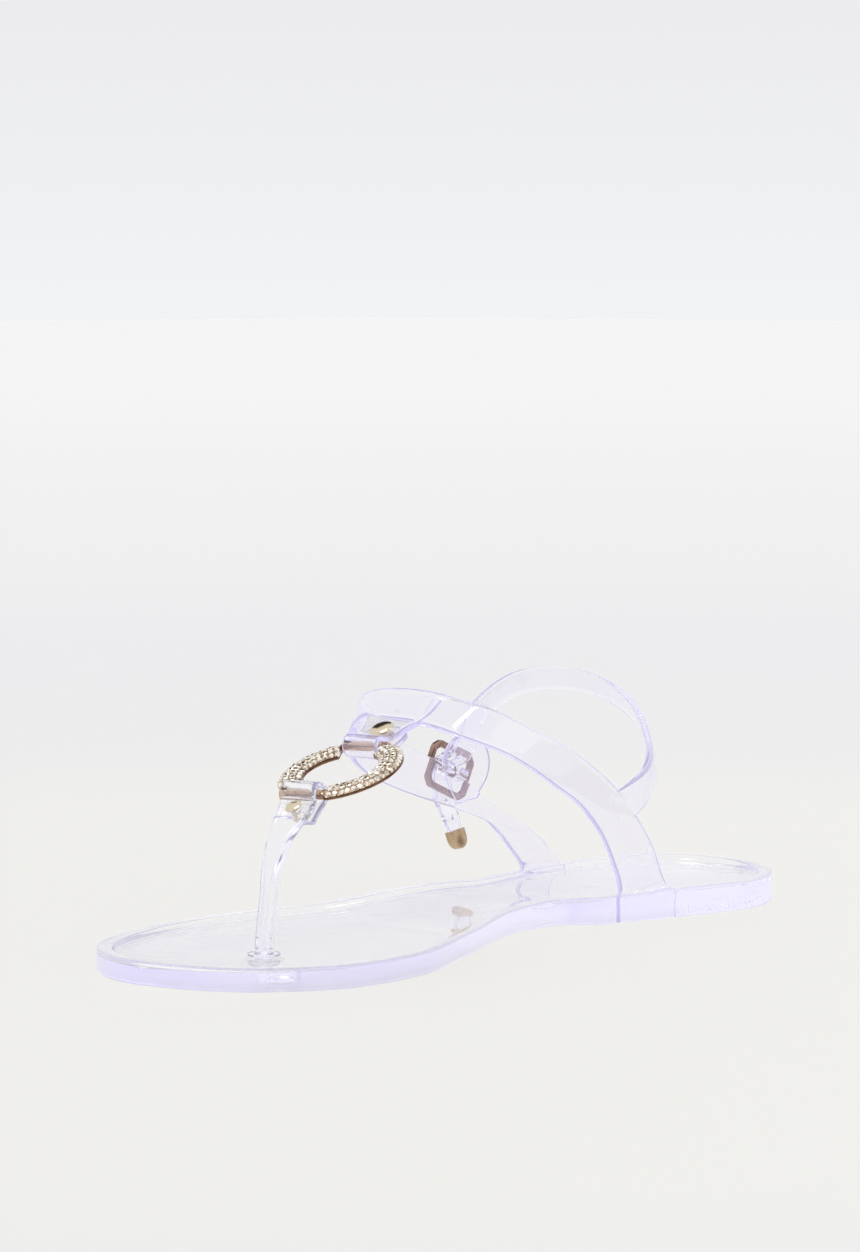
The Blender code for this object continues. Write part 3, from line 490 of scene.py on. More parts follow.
def to_metres(obj: bpy.types.Object, angle: float = 40.0) -> bpy.types.Object:
    """Close a finished mesh's seams, shift it into the part's frame and shade it up to an angle."""
    joined = bmesh.new()
    joined.from_mesh(obj.data)
    bmesh.ops.remove_doubles(joined, verts=joined.verts, dist=SEAM)
    joined.to_mesh(obj.data)
    joined.free()
    obj.data.transform(Matrix.Translation(-ORIGIN))
    obj.data.transform(Matrix.Scale(MILLIMETRE, 4))
    obj.data.shade_smooth()
    obj.data.set_sharp_from_angle(angle=math.radians(angle))
    return obj


def linear(colour: str) -> tuple[float, float, float, float]:
    """Scene-linear colour of an sRGB hex value."""
    parts = [int(colour.lstrip("#")[i:i + 2], 16) / 255 for i in (0, 2, 4)]
    values = [c / 12.92 if c <= 0.04045 else ((c + 0.055) / 1.055) ** 2.4 for c in parts]
    return (values[0], values[1], values[2], 1.0)


def add_node(mat: bpy.types.Material, kind: str, settings: dict | None = None,
             values: dict | None = None, links: dict | None = None) -> bpy.types.Node:
    """Add one node to a material.

    Args:
        mat: The material.
        kind: Blender's name of the node type.
        settings: Properties of the node.
        values: Values of its input sockets.
        links: Output sockets that feed its input sockets.

    Returns:
        The new node.
    """
    node = mat.node_tree.nodes.new(kind)
    for key, value in (settings or {}).items():
        setattr(node, key, value)
    for key, value in (values or {}).items():
        node.inputs[key].default_value = value
    for key, source in (links or {}).items():
        mat.node_tree.links.new(source, node.inputs[key])
    return node


def bare_material(name: str) -> tuple[bpy.types.Material, bpy.types.Node]:
    """A new material and its Principled shader."""
    mat = bpy.data.materials.new(name)
    mat.use_nodes = True
    return mat, mat.node_tree.nodes["Principled BSDF"]


@dataclass(frozen=True)
class ClearPvc:
    """Injection-moulded plasticised PVC, glossy and clear.

    The eye sees through the thin faces. It reads each band by its edges, where the long way
    through the plastic takes out the white and adds a painted lilac glow: the plastic's volume
    emits lilac light of its own, and the longer the way through it, the more of it shows.
    """

    name: str
    density: float = 50.0
    glow: str = "#D3D5FF"
    glow_gain: float = 1.0
    surface: str = "#FFFFFF"
    roughness: float = 0.03
    ior: float = 1.53
    flow_depth: float = 0.02
    tread_top: float = 0.0
    tread_roughness: float = 0.38

    def build(self) -> bpy.types.Material:
        """The material, with faint flow waves of the mould about 9 mm apart.

        A piece with a tread is frosted on its underside, as the mould's etched tread is.
        """
        mat, shader = bare_material(self.name)
        shader.inputs["Base Color"].default_value = linear(self.surface)
        shader.inputs["Roughness"].default_value = self.roughness
        shader.inputs["IOR"].default_value = self.ior
        shader.inputs["Transmission Weight"].default_value = 1.0
        place = add_node(mat, "ShaderNodeTexCoord")
        flow = add_node(mat, "ShaderNodeTexNoise", values={"Scale": 110.0, "Detail": 2.0, "Roughness": 0.45},
                        links={"Vector": place.outputs["Object"]})
        bump = add_node(mat, "ShaderNodeBump", values={"Strength": self.flow_depth, "Distance": 0.0006},
                        links={"Height": flow.outputs["Fac"]})
        mat.node_tree.links.new(bump.outputs["Normal"], shader.inputs["Normal"])
        if self.tread_top:
            face = add_node(mat, "ShaderNodeNewGeometry")
            facing = add_node(mat, "ShaderNodeSeparateXYZ", links={"Vector": face.outputs["True Normal"]})
            level = add_node(mat, "ShaderNodeSeparateXYZ", links={"Vector": place.outputs["Object"]})
            flat = add_node(mat, "ShaderNodeMath", {"operation": "ABSOLUTE"}, links={0: facing.outputs["Z"]})
            under = add_node(mat, "ShaderNodeMapRange", values={"From Min": 0.6, "From Max": 0.9},
                             links={"Value": flat.outputs["Value"]})
            low = add_node(mat, "ShaderNodeMath", {"operation": "LESS_THAN"}, {1: self.tread_top},
                           {0: level.outputs["Z"]})
            both = add_node(mat, "ShaderNodeMath", {"operation": "MULTIPLY"},
                            links={0: under.outputs["Result"], 1: low.outputs["Value"]})
            frost = add_node(mat, "ShaderNodeMapRange",
                             values={"To Min": self.roughness, "To Max": self.tread_roughness},
                             links={"Value": both.outputs["Value"]})
            mat.node_tree.links.new(frost.outputs["Result"], shader.inputs["Roughness"])
        toner = add_node(mat, "ShaderNodeVolumeAbsorption",
                         values={"Color": (0.0, 0.0, 0.0, 1.0), "Density": self.density})
        # Painted glow: the volume emits lilac light, which shows most at the edges
        painted_glow = add_node(mat, "ShaderNodeEmission",
                              values={"Color": linear(self.glow), "Strength": self.density * self.glow_gain})
        filled = add_node(mat, "ShaderNodeAddShader",
                          links={0: toner.outputs["Volume"], 1: painted_glow.outputs["Emission"]})
        output = mat.node_tree.nodes["Material Output"]
        mat.node_tree.links.new(filled.outputs["Shader"], output.inputs["Volume"])
        return mat


@dataclass(frozen=True)
class RoseGold:
    """Champagne rose gold plate on polished die-cast zinc.

    A near mirror: it takes the pale room and the dark side behind the camera in turn, and
    fine polishing marks soften both a little.
    """

    name: str
    colour: str = "#D8C3AC"
    shade: str = "#B99C88"
    roughness: float = 0.16

    def build(self) -> bpy.types.Material:
        """The material, with a slight mottle of about 2 mm and marks about 0.3 mm apart."""
        mat, shader = bare_material(self.name)
        shader.inputs["Metallic"].default_value = 1.0
        place = add_node(mat, "ShaderNodeTexCoord")
        mottle = add_node(mat, "ShaderNodeTexNoise", values={"Scale": 420.0, "Detail": 3.0},
                          links={"Vector": place.outputs["Object"]})
        ramp = add_node(mat, "ShaderNodeValToRGB", links={"Fac": mottle.outputs["Fac"]})
        ramp.color_ramp.elements[0].color = linear(self.shade)
        ramp.color_ramp.elements[1].color = linear(self.colour)
        ramp.color_ramp.elements[1].position = 0.62
        mat.node_tree.links.new(ramp.outputs["Color"], shader.inputs["Base Color"])
        marks = add_node(mat, "ShaderNodeTexNoise", values={"Scale": 3300.0, "Detail": 2.0},
                         links={"Vector": place.outputs["Object"]})
        spread = add_node(mat, "ShaderNodeMapRange",
                          values={"To Min": self.roughness * 0.7, "To Max": self.roughness * 1.4},
                          links={"Value": marks.outputs["Fac"]})
        mat.node_tree.links.new(spread.outputs["Result"], shader.inputs["Roughness"])
        return mat


@dataclass(frozen=True)
class CrystalStone:
    """Foiled glass stone: a clear faceted crown over a mirror back, cream to champagne."""

    name: str
    colour: str = "#FDF8EE"
    shade: str = "#BFB09A"
    roughness: float = 0.05

    def build(self) -> bpy.types.Material:
        """The material, whose tone changes from stone to stone."""
        mat, shader = bare_material(self.name)
        shader.inputs["Metallic"].default_value = 0.9
        shader.inputs["Roughness"].default_value = self.roughness
        shader.inputs["Coat Weight"].default_value = 1.0
        shader.inputs["Coat Roughness"].default_value = 0.02
        place = add_node(mat, "ShaderNodeTexCoord")
        tone = add_node(mat, "ShaderNodeTexNoise", values={"Scale": 900.0, "Detail": 1.0},
                        links={"Vector": place.outputs["Object"]})
        ramp = add_node(mat, "ShaderNodeValToRGB", links={"Fac": tone.outputs["Fac"]})
        ramp.color_ramp.elements[0].position = 0.36
        ramp.color_ramp.elements[0].color = linear(self.shade)
        ramp.color_ramp.elements[1].position = 0.52
        ramp.color_ramp.elements[1].color = linear(self.colour)
        mat.node_tree.links.new(ramp.outputs["Color"], shader.inputs["Base Color"])
        return mat


# glow and glow_gain set each clear piece's painted lilac glow, emitted inside the plastic
UPPER_PVC = ClearPvc("clear injection moulded PVC upper", density=70.0, glow="#DAD3FF", glow_gain=1.08)
SOLE_PVC = ClearPvc("clear injection moulded PVC sole", density=11.0, glow="#DCD6FC", glow_gain=1.25,
                    tread_top=0.0033)
POST_PVC = ClearPvc("clear injection moulded PVC post", density=35.0, glow="#E2DEFF", glow_gain=1.08)
RING_GOLD = RoseGold("champagne rose gold plate ring", colour="#C9AD92", shade="#866A55", roughness=0.12)
# Painted shade: a darker copy of the ring's plate for the upright faces of its arcs
RING_PAINTED_SIDE_SHADE = RoseGold("rose gold ring side with painted shade", colour="#7A5A48", shade="#3E2A22", roughness=0.16)
RIVET_GOLD = RoseGold("champagne gold plate rivet", colour="#E2D6BC", shade="#C9BA9C", roughness=0.12)
BUCKLE_GOLD = RoseGold("rose gold plate buckle", colour="#A88A7C", shade="#3C2A26", roughness=0.10)
TIP_GOLD = RoseGold("satin champagne gold plate tip", colour="#C9B193", shade="#98805F", roughness=0.24)
STONE = CrystalStone("foiled champagne glass stone")


def dress(obj: bpy.types.Object, mat: bpy.types.Material, slot: Slot, *nodes: str) -> bpy.types.Object:
    """Give a finished piece its material and body, and hide the CAD nodes it stands for.

    Args:
        obj: The piece, in metres.
        mat: Its material.
        slot: The record's slot that it takes its finish from; not used.
        nodes: CAD nodes that it replaces.

    Returns:
        The piece.
    """
    obj.data.materials.clear()
    obj.data.materials.append(mat)
    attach(obj, Body.ROOT.value)
    if nodes:
        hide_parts(*nodes)
    LOG.info("piece %s has %d faces", obj.name, len(obj.data.polygons))
    return obj


def clear_piece(obj: bpy.types.Object) -> bpy.types.Object:
    """Let light through a clear piece, so that it leaves no grey shadow."""
    obj.visible_shadow = False
    obj.visible_diffuse = False
    return obj


@dataclass
class Sole:
    """Sole with its rim, recessed footbed, arch, toe spring and fine toothed tread edge."""

    forefoot: float = 6.2
    heel: float = 8.3
    arch: float = 1.5
    spring: float = 2.9
    rim_width: float = 4.4
    rim_edge: float = 0.8
    recess: float = 1.7
    slope: float = 1.2
    cup: float = 0.5
    side_steps: int = 560
    columns: int = 12
    tooth_pitch: float = 1.45
    tooth_depth: float = 0.28
    tooth_height: float = 1.0
    tooth_end: float = 62.0
    medial: list[Vector] = field(default_factory=list)
    lateral: list[Vector] = field(default_factory=list)

    def __post_init__(self) -> None:
        """Trace the outline's two sides."""
        heel = Vector((0, 0, 0))
        toe = Vector((TOE_TIP[0] * LAST.length, TOE_TIP[1] * LAST.ball_width, 0))
        medial = [shares(u, m, 0) for u, m, _ in OUTLINE]
        lateral = [shares(u, -s, 0) for u, _, s in OUTLINE]
        loop = [lateral[1], lateral[0], heel] + medial + [toe] + lateral[::-1] + [heel, medial[0]]
        steps = 24
        path = smooth_path(loop, steps)
        start = 2 * steps
        middle = start + (len(medial) + 1) * steps
        end = middle + (len(lateral) + 1) * steps
        self.medial = resample(path[start:middle + 1], self.side_steps)
        self.lateral = resample(path[middle:end + 1], self.side_steps)[::-1]

    def bottom(self, x: float) -> float:
        """Height of the underside above the floor: the arch and the toe spring."""
        u = x / LAST.length
        arch = smoothstep(0.32, 0.42, u) * (1 - smoothstep(0.46, 0.57, u)) * self.arch
        spring = max(u - 0.80, 0.0) / 0.20
        return arch + self.spring * spring * spring

    def rim(self, x: float) -> float:
        """Height of the rim."""
        heel_part = 1 - smoothstep(0.20, 0.62, x / LAST.length)
        return self.bottom(x) + self.forefoot + (self.heel - self.forefoot) * heel_part

    def footbed(self, x: float) -> float:
        """Height of the footbed at its edge."""
        return self.rim(x) - self.recess

    def wall(self, side: int, station: float, out: float) -> Vector:
        """Point at a station, a distance outside the wall, on one side."""
        points = self.medial if side > 0 else self.lateral
        x = station * LAST.length
        for a, b in zip(points, points[1:]):
            if a.x <= x <= b.x:
                place = a.lerp(b, (x - a.x) / (b.x - a.x))
                run = (b - a).normalized()
                return place + Vector((-run.y, run.x, 0)) * side * out
        return points[-1].copy()

    def tooth(self, length: float, x: float) -> float:
        """How far the heel's toothed edge lies inside the wall, a length along it."""
        wave = 0.5 + 0.5 * math.cos(2 * math.pi * length / self.tooth_pitch)
        return self.tooth_depth * (1 - wave ** 0.6) * (1 - smoothstep(self.tooth_end - 8, self.tooth_end, x))

    def build(self, post_foot: Vector, bore: float, plug: float, plug_top: float) -> bpy.types.Object:
        """The sole's mesh.

        Args:
            post_foot: Place of the toe post on the floor.
            bore: Radius of the post's bore.
            plug: Radius of the recess for its plug.
            plug_top: Height of the recess.

        Returns:
            The sole, in millimetres.
        """
        loop = self.medial[:-1] + self.lateral[:0:-1]
        count = len(loop)
        lengths = [0.0]
        for a, b in zip(loop, loop[1:]):
            lengths.append(lengths[-1] + (b - a).length)
        inward = []
        for i in range(count):
            run = loop[(i + 1) % count] - loop[i - 1]
            inward.append(Vector((run.y, -run.x, 0)).normalized())
        edge = self.rim_edge
        rings: list[tuple[float, Callable[[float], float], bool]] = [
            (1.6, lambda x: self.bottom(x), False),
            (0.35, lambda x: self.bottom(x), True),
            (0.12, lambda x: self.bottom(x) + 0.2, True),
            (0.0, lambda x: self.bottom(x) + self.tooth_height * 0.8, True),
            (0.0, lambda x: self.bottom(x) + self.tooth_height, False),
            (0.0, lambda x: (self.bottom(x) + self.rim(x)) / 2, False),
        ]
        for k in range(7):
            angle = math.pi / 2 * k / 6
            rings.append((edge * (1 - math.cos(angle)),
                          lambda x, a=angle: self.rim(x) - edge * (1 - math.sin(a)), False))
        inner = self.rim_width
        rings.append((inner - 0.5, lambda x: self.rim(x), False))
        for k in range(1, 5):
            angle = math.pi / 2 * k / 4
            rings.append((inner - 0.5 + 0.5 * math.sin(angle),
                          lambda x, a=angle: self.rim(x) - 0.5 * (1 - math.cos(a)), False))
        rings.append((inner + self.slope * 0.6, lambda x: self.footbed(x) + 0.35, False))
        rings.append((inner + self.slope, lambda x: self.footbed(x) + 0.05, False))
        rings.append((inner + self.slope + 0.8, lambda x: self.footbed(x), False))
        verts: list[Vector] = []
        for inset, height, toothed in rings:
            for point, way, length in zip(loop, inward, lengths):
                place = point + way * (inset + (self.tooth(length, point.x) if toothed else 0.0))
                verts.append(Vector((place.x, place.y, height(place.x))))
        faces: list[tuple[int, ...]] = []
        for row in range(len(rings) - 1):
            a = row * count
            for j in range(count):
                k = (j + 1) % count
                faces.append((a + j, a + k, a + count + k, a + count + j))
        steps = self.side_steps
        for base, cup in ((0, 0.0), ((len(rings) - 1) * count, self.cup)):
            rows = [[base]]
            for i in range(1, steps):
                medial = base + i
                lateral = base + count - i
                row = [medial]
                for c in range(1, self.columns):
                    t = c / self.columns
                    point = verts[medial].lerp(verts[lateral], t)
                    level = self.footbed(point.x) if cup else self.bottom(point.x)
                    point.z = level - cup * (4 * t * (1 - t)) ** 1.5
                    row.append(len(verts))
                    verts.append(point)
                row.append(lateral)
                rows.append(row)
            rows.append([base + steps])
            for near, far in zip(rows, rows[1:]):
                if len(near) == 1:
                    faces += [(near[0], far[c], far[c + 1]) for c in range(self.columns)]
                elif len(far) == 1:
                    faces += [(near[c], near[c + 1], far[0]) for c in range(self.columns)]
                else:
                    faces += [(near[c], near[c + 1], far[c + 1], far[c]) for c in range(self.columns)]
        sole = mesh_object("sole_clear", verts, faces)
        top = post_foot + Vector((0, 0, self.rim(post_foot.x) + 2))
        low = post_foot - Vector((0, 0, 2))
        hole = rod("bore", low, top, bore)
        seat = rod("seat", low, post_foot + Vector((0, 0, plug_top)), plug)
        return combine(sole, [hole, seat], Join.CUT)


@dataclass
class TBar:
    """Sizes and lines of the ring, the tongue that holds it and the post in front."""

    turn: float = math.radians(6.0)
    start: Row = (0.548, 0.010)
    rear_bar: Row = (0.637, 0.807)
    ring_length: float = 33.2
    ring_breadth: float = 36.0
    arc_width: float = 6.8
    bar_width: float = 2.2
    ring_thickness: float = 2.2
    ring_slope: float = math.radians(21.7)
    ring_lean: float = math.radians(3.0)
    ring_shift: float = 1.9
    bar_inset: float = 1.5
    tongue_width: float = 13.6
    tongue_thickness: float = 1.5
    loop_width: float = 0.86
    post_top_width: float = 12.6
    post_width: float = 4.2
    post_thickness: float = 1.7
    post_depth: float = 3.8
    post_away: float = 3.0
    post_base: float = 0.818

    def point(self, station: float, height: float) -> Vector:
        """Point over the line of the tongue, ring and post."""
        run = (station - self.start[0]) * LAST.length
        side = self.start[1] * LAST.ball_width + run * math.tan(self.turn)
        return Vector((station * LAST.length, side, height * LAST.instep))

    def level_across(self) -> Vector:
        """Level direction across the tongue, to the lateral side."""
        return Vector((math.sin(self.turn), -math.cos(self.turn), 0))

    def post_point(self, station: float, height: float, away: float) -> Vector:
        """Point on the post, moved from the ring's line to the medial side."""
        return self.point(station, height) - self.level_across() * self.post_away * away

    def post_foot(self) -> Vector:
        """Place of the post on the floor."""
        foot = self.point(self.post_base, 0.0) - self.level_across() * self.post_away * POST_ROWS[-1][-1]
        return Vector((foot.x, foot.y, 0))

    def axes(self) -> tuple[Vector, Vector, Vector]:
        """Directions of the ring: forward, across to the medial side, and its normal."""
        ahead = Vector((math.cos(self.turn), math.sin(self.turn), 0))
        forward = ahead * math.cos(self.ring_slope) - Vector((0, 0, math.sin(self.ring_slope)))
        across = -self.level_across() * math.cos(self.ring_lean) + Vector((0, 0, math.sin(self.ring_lean)))
        normal = forward.cross(across).normalized()
        return forward, normal.cross(forward).normalized(), normal

    def bars(self) -> tuple[Vector, Vector, Vector]:
        """Centres of the ring's rear and front bars, and of the ring."""
        forward, across, _ = self.axes()
        reach = (self.ring_length - self.bar_width) / 2 - self.bar_inset
        rear = self.point(*self.rear_bar)
        return rear, rear + forward * 2 * reach, rear + forward * reach + across * self.ring_shift

    def loop_radius(self, thickness: float) -> float:
        """Radius of a strap's middle where it loops round a bar."""
        return math.hypot(self.ring_thickness, self.bar_width) / 2 + LAST.gap + thickness / 2

    def loop_round(self, bar: Vector, start: float, end: float, radius: float, steps: int) -> list[Vector]:
        """Arc about a bar from one angle to another, in degrees."""
        forward, _, normal = self.axes()
        arc = []
        for k in range(steps + 1):
            angle = math.radians(start + (end - start) * k / steps)
            arc.append(bar + (forward * math.cos(angle) + normal * math.sin(angle)) * radius)
        return arc

    def ring_frame_at(self, angle: float) -> tuple[Vector, Vector, float, float]:
        """The ring at an angle round it.

        Args:
            angle: Angle round the ring in radians, from the front bar to the medial side.

        Returns:
            The outer edge, the direction outwards, the width and how much it is an arc.
        """
        forward, across, _ = self.axes()
        _, _, centre = self.bars()
        fore = math.cos(angle)
        side = math.sin(angle)
        arc = smoothstep(0.39, 0.50, abs(side + self.ring_shift / self.ring_breadth * 2))
        width = self.bar_width + (self.arc_width - self.bar_width) * arc
        flat = math.copysign(self.ring_length / 2 - self.bar_inset, fore)
        reach = fore * self.ring_length / 2 * arc + flat * (1 - arc)
        outer = centre + forward * reach + across * side * self.ring_breadth / 2
        radial = (forward * fore / self.ring_length + across * side / self.ring_breadth).normalized() * arc
        radial = (radial + forward * math.copysign(1 - arc, fore)).normalized()
        return outer, radial, width, arc

    def tongue(self) -> bpy.types.Object:
        """The tongue over the rear bar, round it and back underneath."""
        rear_bar, _, _ = self.bars()
        arc = self.loop_round(rear_bar, 92, -96, self.loop_radius(self.tongue_thickness), 8)
        points = [self.point(u, h) for u, h, _ in TONGUE_OUT] + arc
        points += [self.point(u, h) for u, h, _ in TONGUE_BACK]
        widths = [w for _, _, w in TONGUE_OUT] + [self.loop_width] * len(arc) + [w for _, _, w in TONGUE_BACK]
        steps = 6
        path = smooth_path(points, steps)
        eased = smooth_path([(w, i, 0) for i, w in enumerate(widths)], steps)
        sizes = [v.x * self.tongue_width for v in eased]
        side = self.level_across()
        rear = [p - side * w / 2 for p, w in zip(path, sizes)]
        front = [p + side * w / 2 for p, w in zip(path, sizes)]
        return band("tongue", rear, front, self.tongue_thickness, 0.45)

    def post(self, sole: Sole) -> bpy.types.Object:
        """The toe post with its collar and plug.

        Args:
            sole: The sole that it stands in.

        Returns:
            The post, in millimetres.
        """
        _, across, _ = self.axes()
        _, bar, _ = self.bars()
        arc = self.loop_round(bar, 236, -14, self.loop_radius(self.post_thickness), 12)
        points = [self.post_point(*row) for row in POST_TAIL] + arc
        points += [self.post_point(u, h, away) for u, h, _, _, away in POST_ROWS]
        wide = [self.post_top_width] * (len(POST_TAIL) + len(arc))
        deep = [self.post_thickness] * len(wide)
        for _, _, w, d, _ in POST_ROWS:
            wide.append(self.post_width + (self.post_top_width - self.post_width) * w)
            deep.append(self.post_thickness + (self.post_depth - self.post_thickness) * d)
        base = self.post_foot()
        foot = sole.footbed(self.post_base * LAST.length) - sole.cup
        points.append(base + Vector((0, 0, foot + 0.55)))
        wide.append(self.post_width)
        deep.append(self.post_depth)
        steps = 6
        path = smooth_path(points, steps)
        sizes = smooth_path([(w, d, i) for i, (w, d) in enumerate(zip(wide, deep))], steps)
        sections = []
        corners = 36
        for point, run, size in zip(path, tangents(path), sizes):
            face = run.cross(across).normalized()
            section = []
            for k in range(corners):
                angle = 2 * math.pi * (k + 0.5) / corners
                c = math.cos(angle)
                s = math.sin(angle)
                power = 0.5
                section.append(point + across * math.copysign(abs(c) ** power, c) * size.x / 2
                               + face * math.copysign(abs(s) ** power, s) * size.y / 2)
            sections.append(section)
        post = loft("toe_post_clear", sections)
        seat = foot + LAST.gap + sole.cup
        collar = ((0, seat), (4.2, seat), (4.4, seat + 0.15), (4.4, seat + 0.4), (4.2, seat + 0.6),
                  (3.3, seat + 1.0), (2.8, seat + 1.25), (0, seat + 1.76))
        low = sole.bottom(base.x) + LAST.gap
        plug = ((0, low), (4.8, low), (5.1, low + 0.15), (5.2, low + 0.4), (5.2, low + 1.8),
                (self.post_width / 2, low + 1.8), (self.post_width / 2, seat + 0.44), (0, seat + 0.44))
        up = Vector((0, 0, 1))
        combine(post, [turned("collar", collar, base, up), turned("plug", plug, base, up)], Join.UNION)
        tail, axis, spread = self.post_rivet_axis()
        return combine(post, [rod("hole", tail - axis * 3, tail + axis * (spread + 3), 1.5)], Join.CUT)

    def post_rivet_axis(self) -> tuple[Vector, Vector, float]:
        """Middle of the post's tail, direction to the strap in front of it and the way there."""
        tail = self.post_point(*POST_TAIL[0]).lerp(self.post_point(*POST_TAIL[1]), 0.5)
        high, low = [self.post_point(u, h, away) for u, h, _, _, away in POST_ROWS[:2]]
        way = high.lerp(low, 0.4) - tail
        return tail, way.normalized(), way.length


@dataclass
class Upper:
    """Arms and vamp, ankle strap and ear of the moulded upper, with the tongue."""

    bar: TBar
    sole: Sole
    thickness: float = 2.0
    ankle_thickness: float = 1.8
    ankle_width: float = 9.5
    free_end_width: float = 7.0
    ease: float = 0.55
    floor_gap: float = 0.6
    medial_anchor: Row = (0.243, 0.320)
    lateral_anchor: Row = (0.172, 0.237)
    ear_centre: Row = (0.336, -0.3700, 0.594)
    ear_radius: float = 9.5
    buckle_centre: Row = (0.349, -0.4225, 0.572)
    buckle_width: float = 16.6
    buckle_bar: float = 0.8
    lug_width: float = 3.2
    lug_wall: float = 1.0
    holes: Row = (8.4, 11.8)

    def buckle_axes(self) -> tuple[Vector, Vector, Vector, Vector]:
        """Directions of the buckle: across, down and outwards; and its centre."""
        across = Vector((-0.90, 0.06, -0.42)).normalized()
        fall = Vector((0.42, 0.0, -0.90))
        down = (fall - across * fall.dot(across)).normalized()
        return across, down, across.cross(down).normalized(), shares(*self.buckle_centre)

    def arms(self) -> bpy.types.Object:
        """The arms and vamp from the medial anchor tab to the lateral one."""
        out = LAST.gap + self.thickness
        rear: list[Vector] = []
        front: list[Vector] = []
        levels = (self.floor_gap, self.sole.heel * 0.5, self.sole.heel)
        sides = ((1, self.medial_anchor, levels), (-1, self.lateral_anchor, levels[::-1]))
        for side, anchor, heights in sides:
            if side < 0:
                for row in ARM_ROWS:
                    rear.append(shares(*row[:3]))
                    front.append(shares(*row[3:]))
            for height in heights:
                for edge, station in ((rear, anchor[0]), (front, anchor[1])):
                    point = self.sole.wall(side, station, out)
                    point.z = height
                    edge.append(point)
        return band("upper_clear", smooth_path(rear, 10), smooth_path(front, 10), self.thickness, self.ease,
                    -self.thickness / 2)

    def ankle(self) -> bpy.types.Object:
        """The ankle strap round the heel, through the buckle, with its slot and holes."""
        across, down, out, centre = self.buckle_axes()
        upper: list[Vector] = []
        lower: list[Vector] = []
        for station, side, height, width, fall in ANKLE_ROWS:
            point = shares(station, side, height, LAST.ankle)
            upper.append(point)
            lower.append(point + Vector(fall).normalized() * self.ankle_width * width)
        for edge, extra in zip((upper, lower), self.free_end_edges()):
            edge.extend(extra)
        ankle = band("ankle", smooth_path(upper, 8), smooth_path(lower, 8), self.ankle_thickness, 0.5)
        slot = block("slot", centre - down * 3.5 + out * 1.2, (across, down, out), (1.8, 5.3, 5.6))
        punches = []
        for along in self.holes:
            middle = self.free_end_point(along)
            punches.append(rod("punch", middle - out * 4, middle + out * 4, 1.0))
        return combine(ankle, [slot] + punches, Join.CUT)

    def free_end_edges(self) -> tuple[list[Vector], list[Vector]]:
        """Both edges of the strap's free end, from before the buckle to its tip."""
        across, down, out, centre = self.buckle_axes()
        upper: list[Vector] = []
        lower: list[Vector] = []
        for along, off, aside, turn, width in FREE_END:
            middle = centre + down * along + out * off + across * aside
            direction = Matrix.Rotation(math.radians(-turn), 3, out) @ across
            upper.append(middle - direction * self.free_end_width * width / 2)
            lower.append(middle + direction * self.free_end_width * width / 2)
        return upper, lower

    def free_end_point(self, along: float) -> Vector:
        """Point on the middle of the strap's free end, a distance along the buckle."""
        across, down, out, centre = self.buckle_axes()
        for a, b in zip(FREE_END, FREE_END[1:]):
            if a[0] <= along <= b[0]:
                t = (along - a[0]) / (b[0] - a[0])
                off = a[1] + (b[1] - a[1]) * t
                aside = a[2] + (b[2] - a[2]) * t
                return centre + down * along + out * off + across * aside
        return centre

    def ear(self) -> bpy.types.Object:
        """Rounded ear on the lateral arm, with two lugs round the buckle's bar."""
        across, down, out, centre = self.buckle_axes()
        middle = shares(*self.ear_centre)
        half = self.thickness / 2 * 0.95
        steps = 48
        plate = []
        for side, shrink in ((-half, 0.35), (-half * 0.4, 0.0), (half * 0.4, 0.0), (half, 0.35)):
            radius = self.ear_radius - shrink
            ring = []
            for k in range(steps):
                angle = math.radians(-35 + 250 * k / (steps - 1))
                way = Vector((math.cos(angle), 0, math.sin(angle)))
                ring.append(middle + way * radius + Vector((0, side, 0)))
            ring.append(middle + Vector((-0.40, 0, -1.05)) * radius + Vector((0, side, 0)))
            ring.append(middle + Vector((0.45, 0, -1.15)) * radius + Vector((0, side, 0)))
            plate.append(ring)
        ear = loft("ear", plate)
        reach = (centre - middle).dot(out) - half
        radius = self.buckle_bar + LAST.gap + self.lug_wall
        parts = []
        for offset in (-self.lug_width, self.lug_width):
            spot = centre + across * offset
            size = (self.lug_width, radius * 1.5, reach + half * 0.5)
            parts.append(block("web", spot - out * (reach + half * 0.5) / 2, (across, down, out), size))
            barrel = across * self.lug_width / 2 * 1.02
            parts.append(rod("barrel", spot - barrel, spot + barrel, radius))
        combine(ear, parts, Join.UNION)
        reach_out = across * self.buckle_width
        bore = rod("bore", centre - reach_out, centre + reach_out, self.buckle_bar + LAST.gap)
        return combine(ear, [bore], Join.CUT)

    def rivet_hole(self) -> bpy.types.Object:
        """Cutter for the hole of the tongue's rivet, about the CAD rivet's shank."""
        low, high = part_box("tab_rivet")
        middle = (Vector(low) + Vector(high)) / 2 / MILLIMETRE + ORIGIN
        axis = self.rivet_direction(self.bar)
        return rod("hole", middle - axis * 7, middle + axis * 7, 1.5)

    @staticmethod
    def rivet_direction(bar: TBar) -> Vector:
        """Direction of the tongue's rivet, up through the tongue."""
        run = bar.point(0.610, 0.856) - bar.point(0.596, 0.882)
        return bar.level_across().cross(run).normalized()

    def build(self) -> bpy.types.Object:
        """The whole upper as one piece, in millimetres."""
        upper = self.arms()
        combine(upper, [self.bar.tongue(), self.ankle(), self.ear()], Join.UNION)
        return combine(upper, [self.rivet_hole()], Join.CUT)


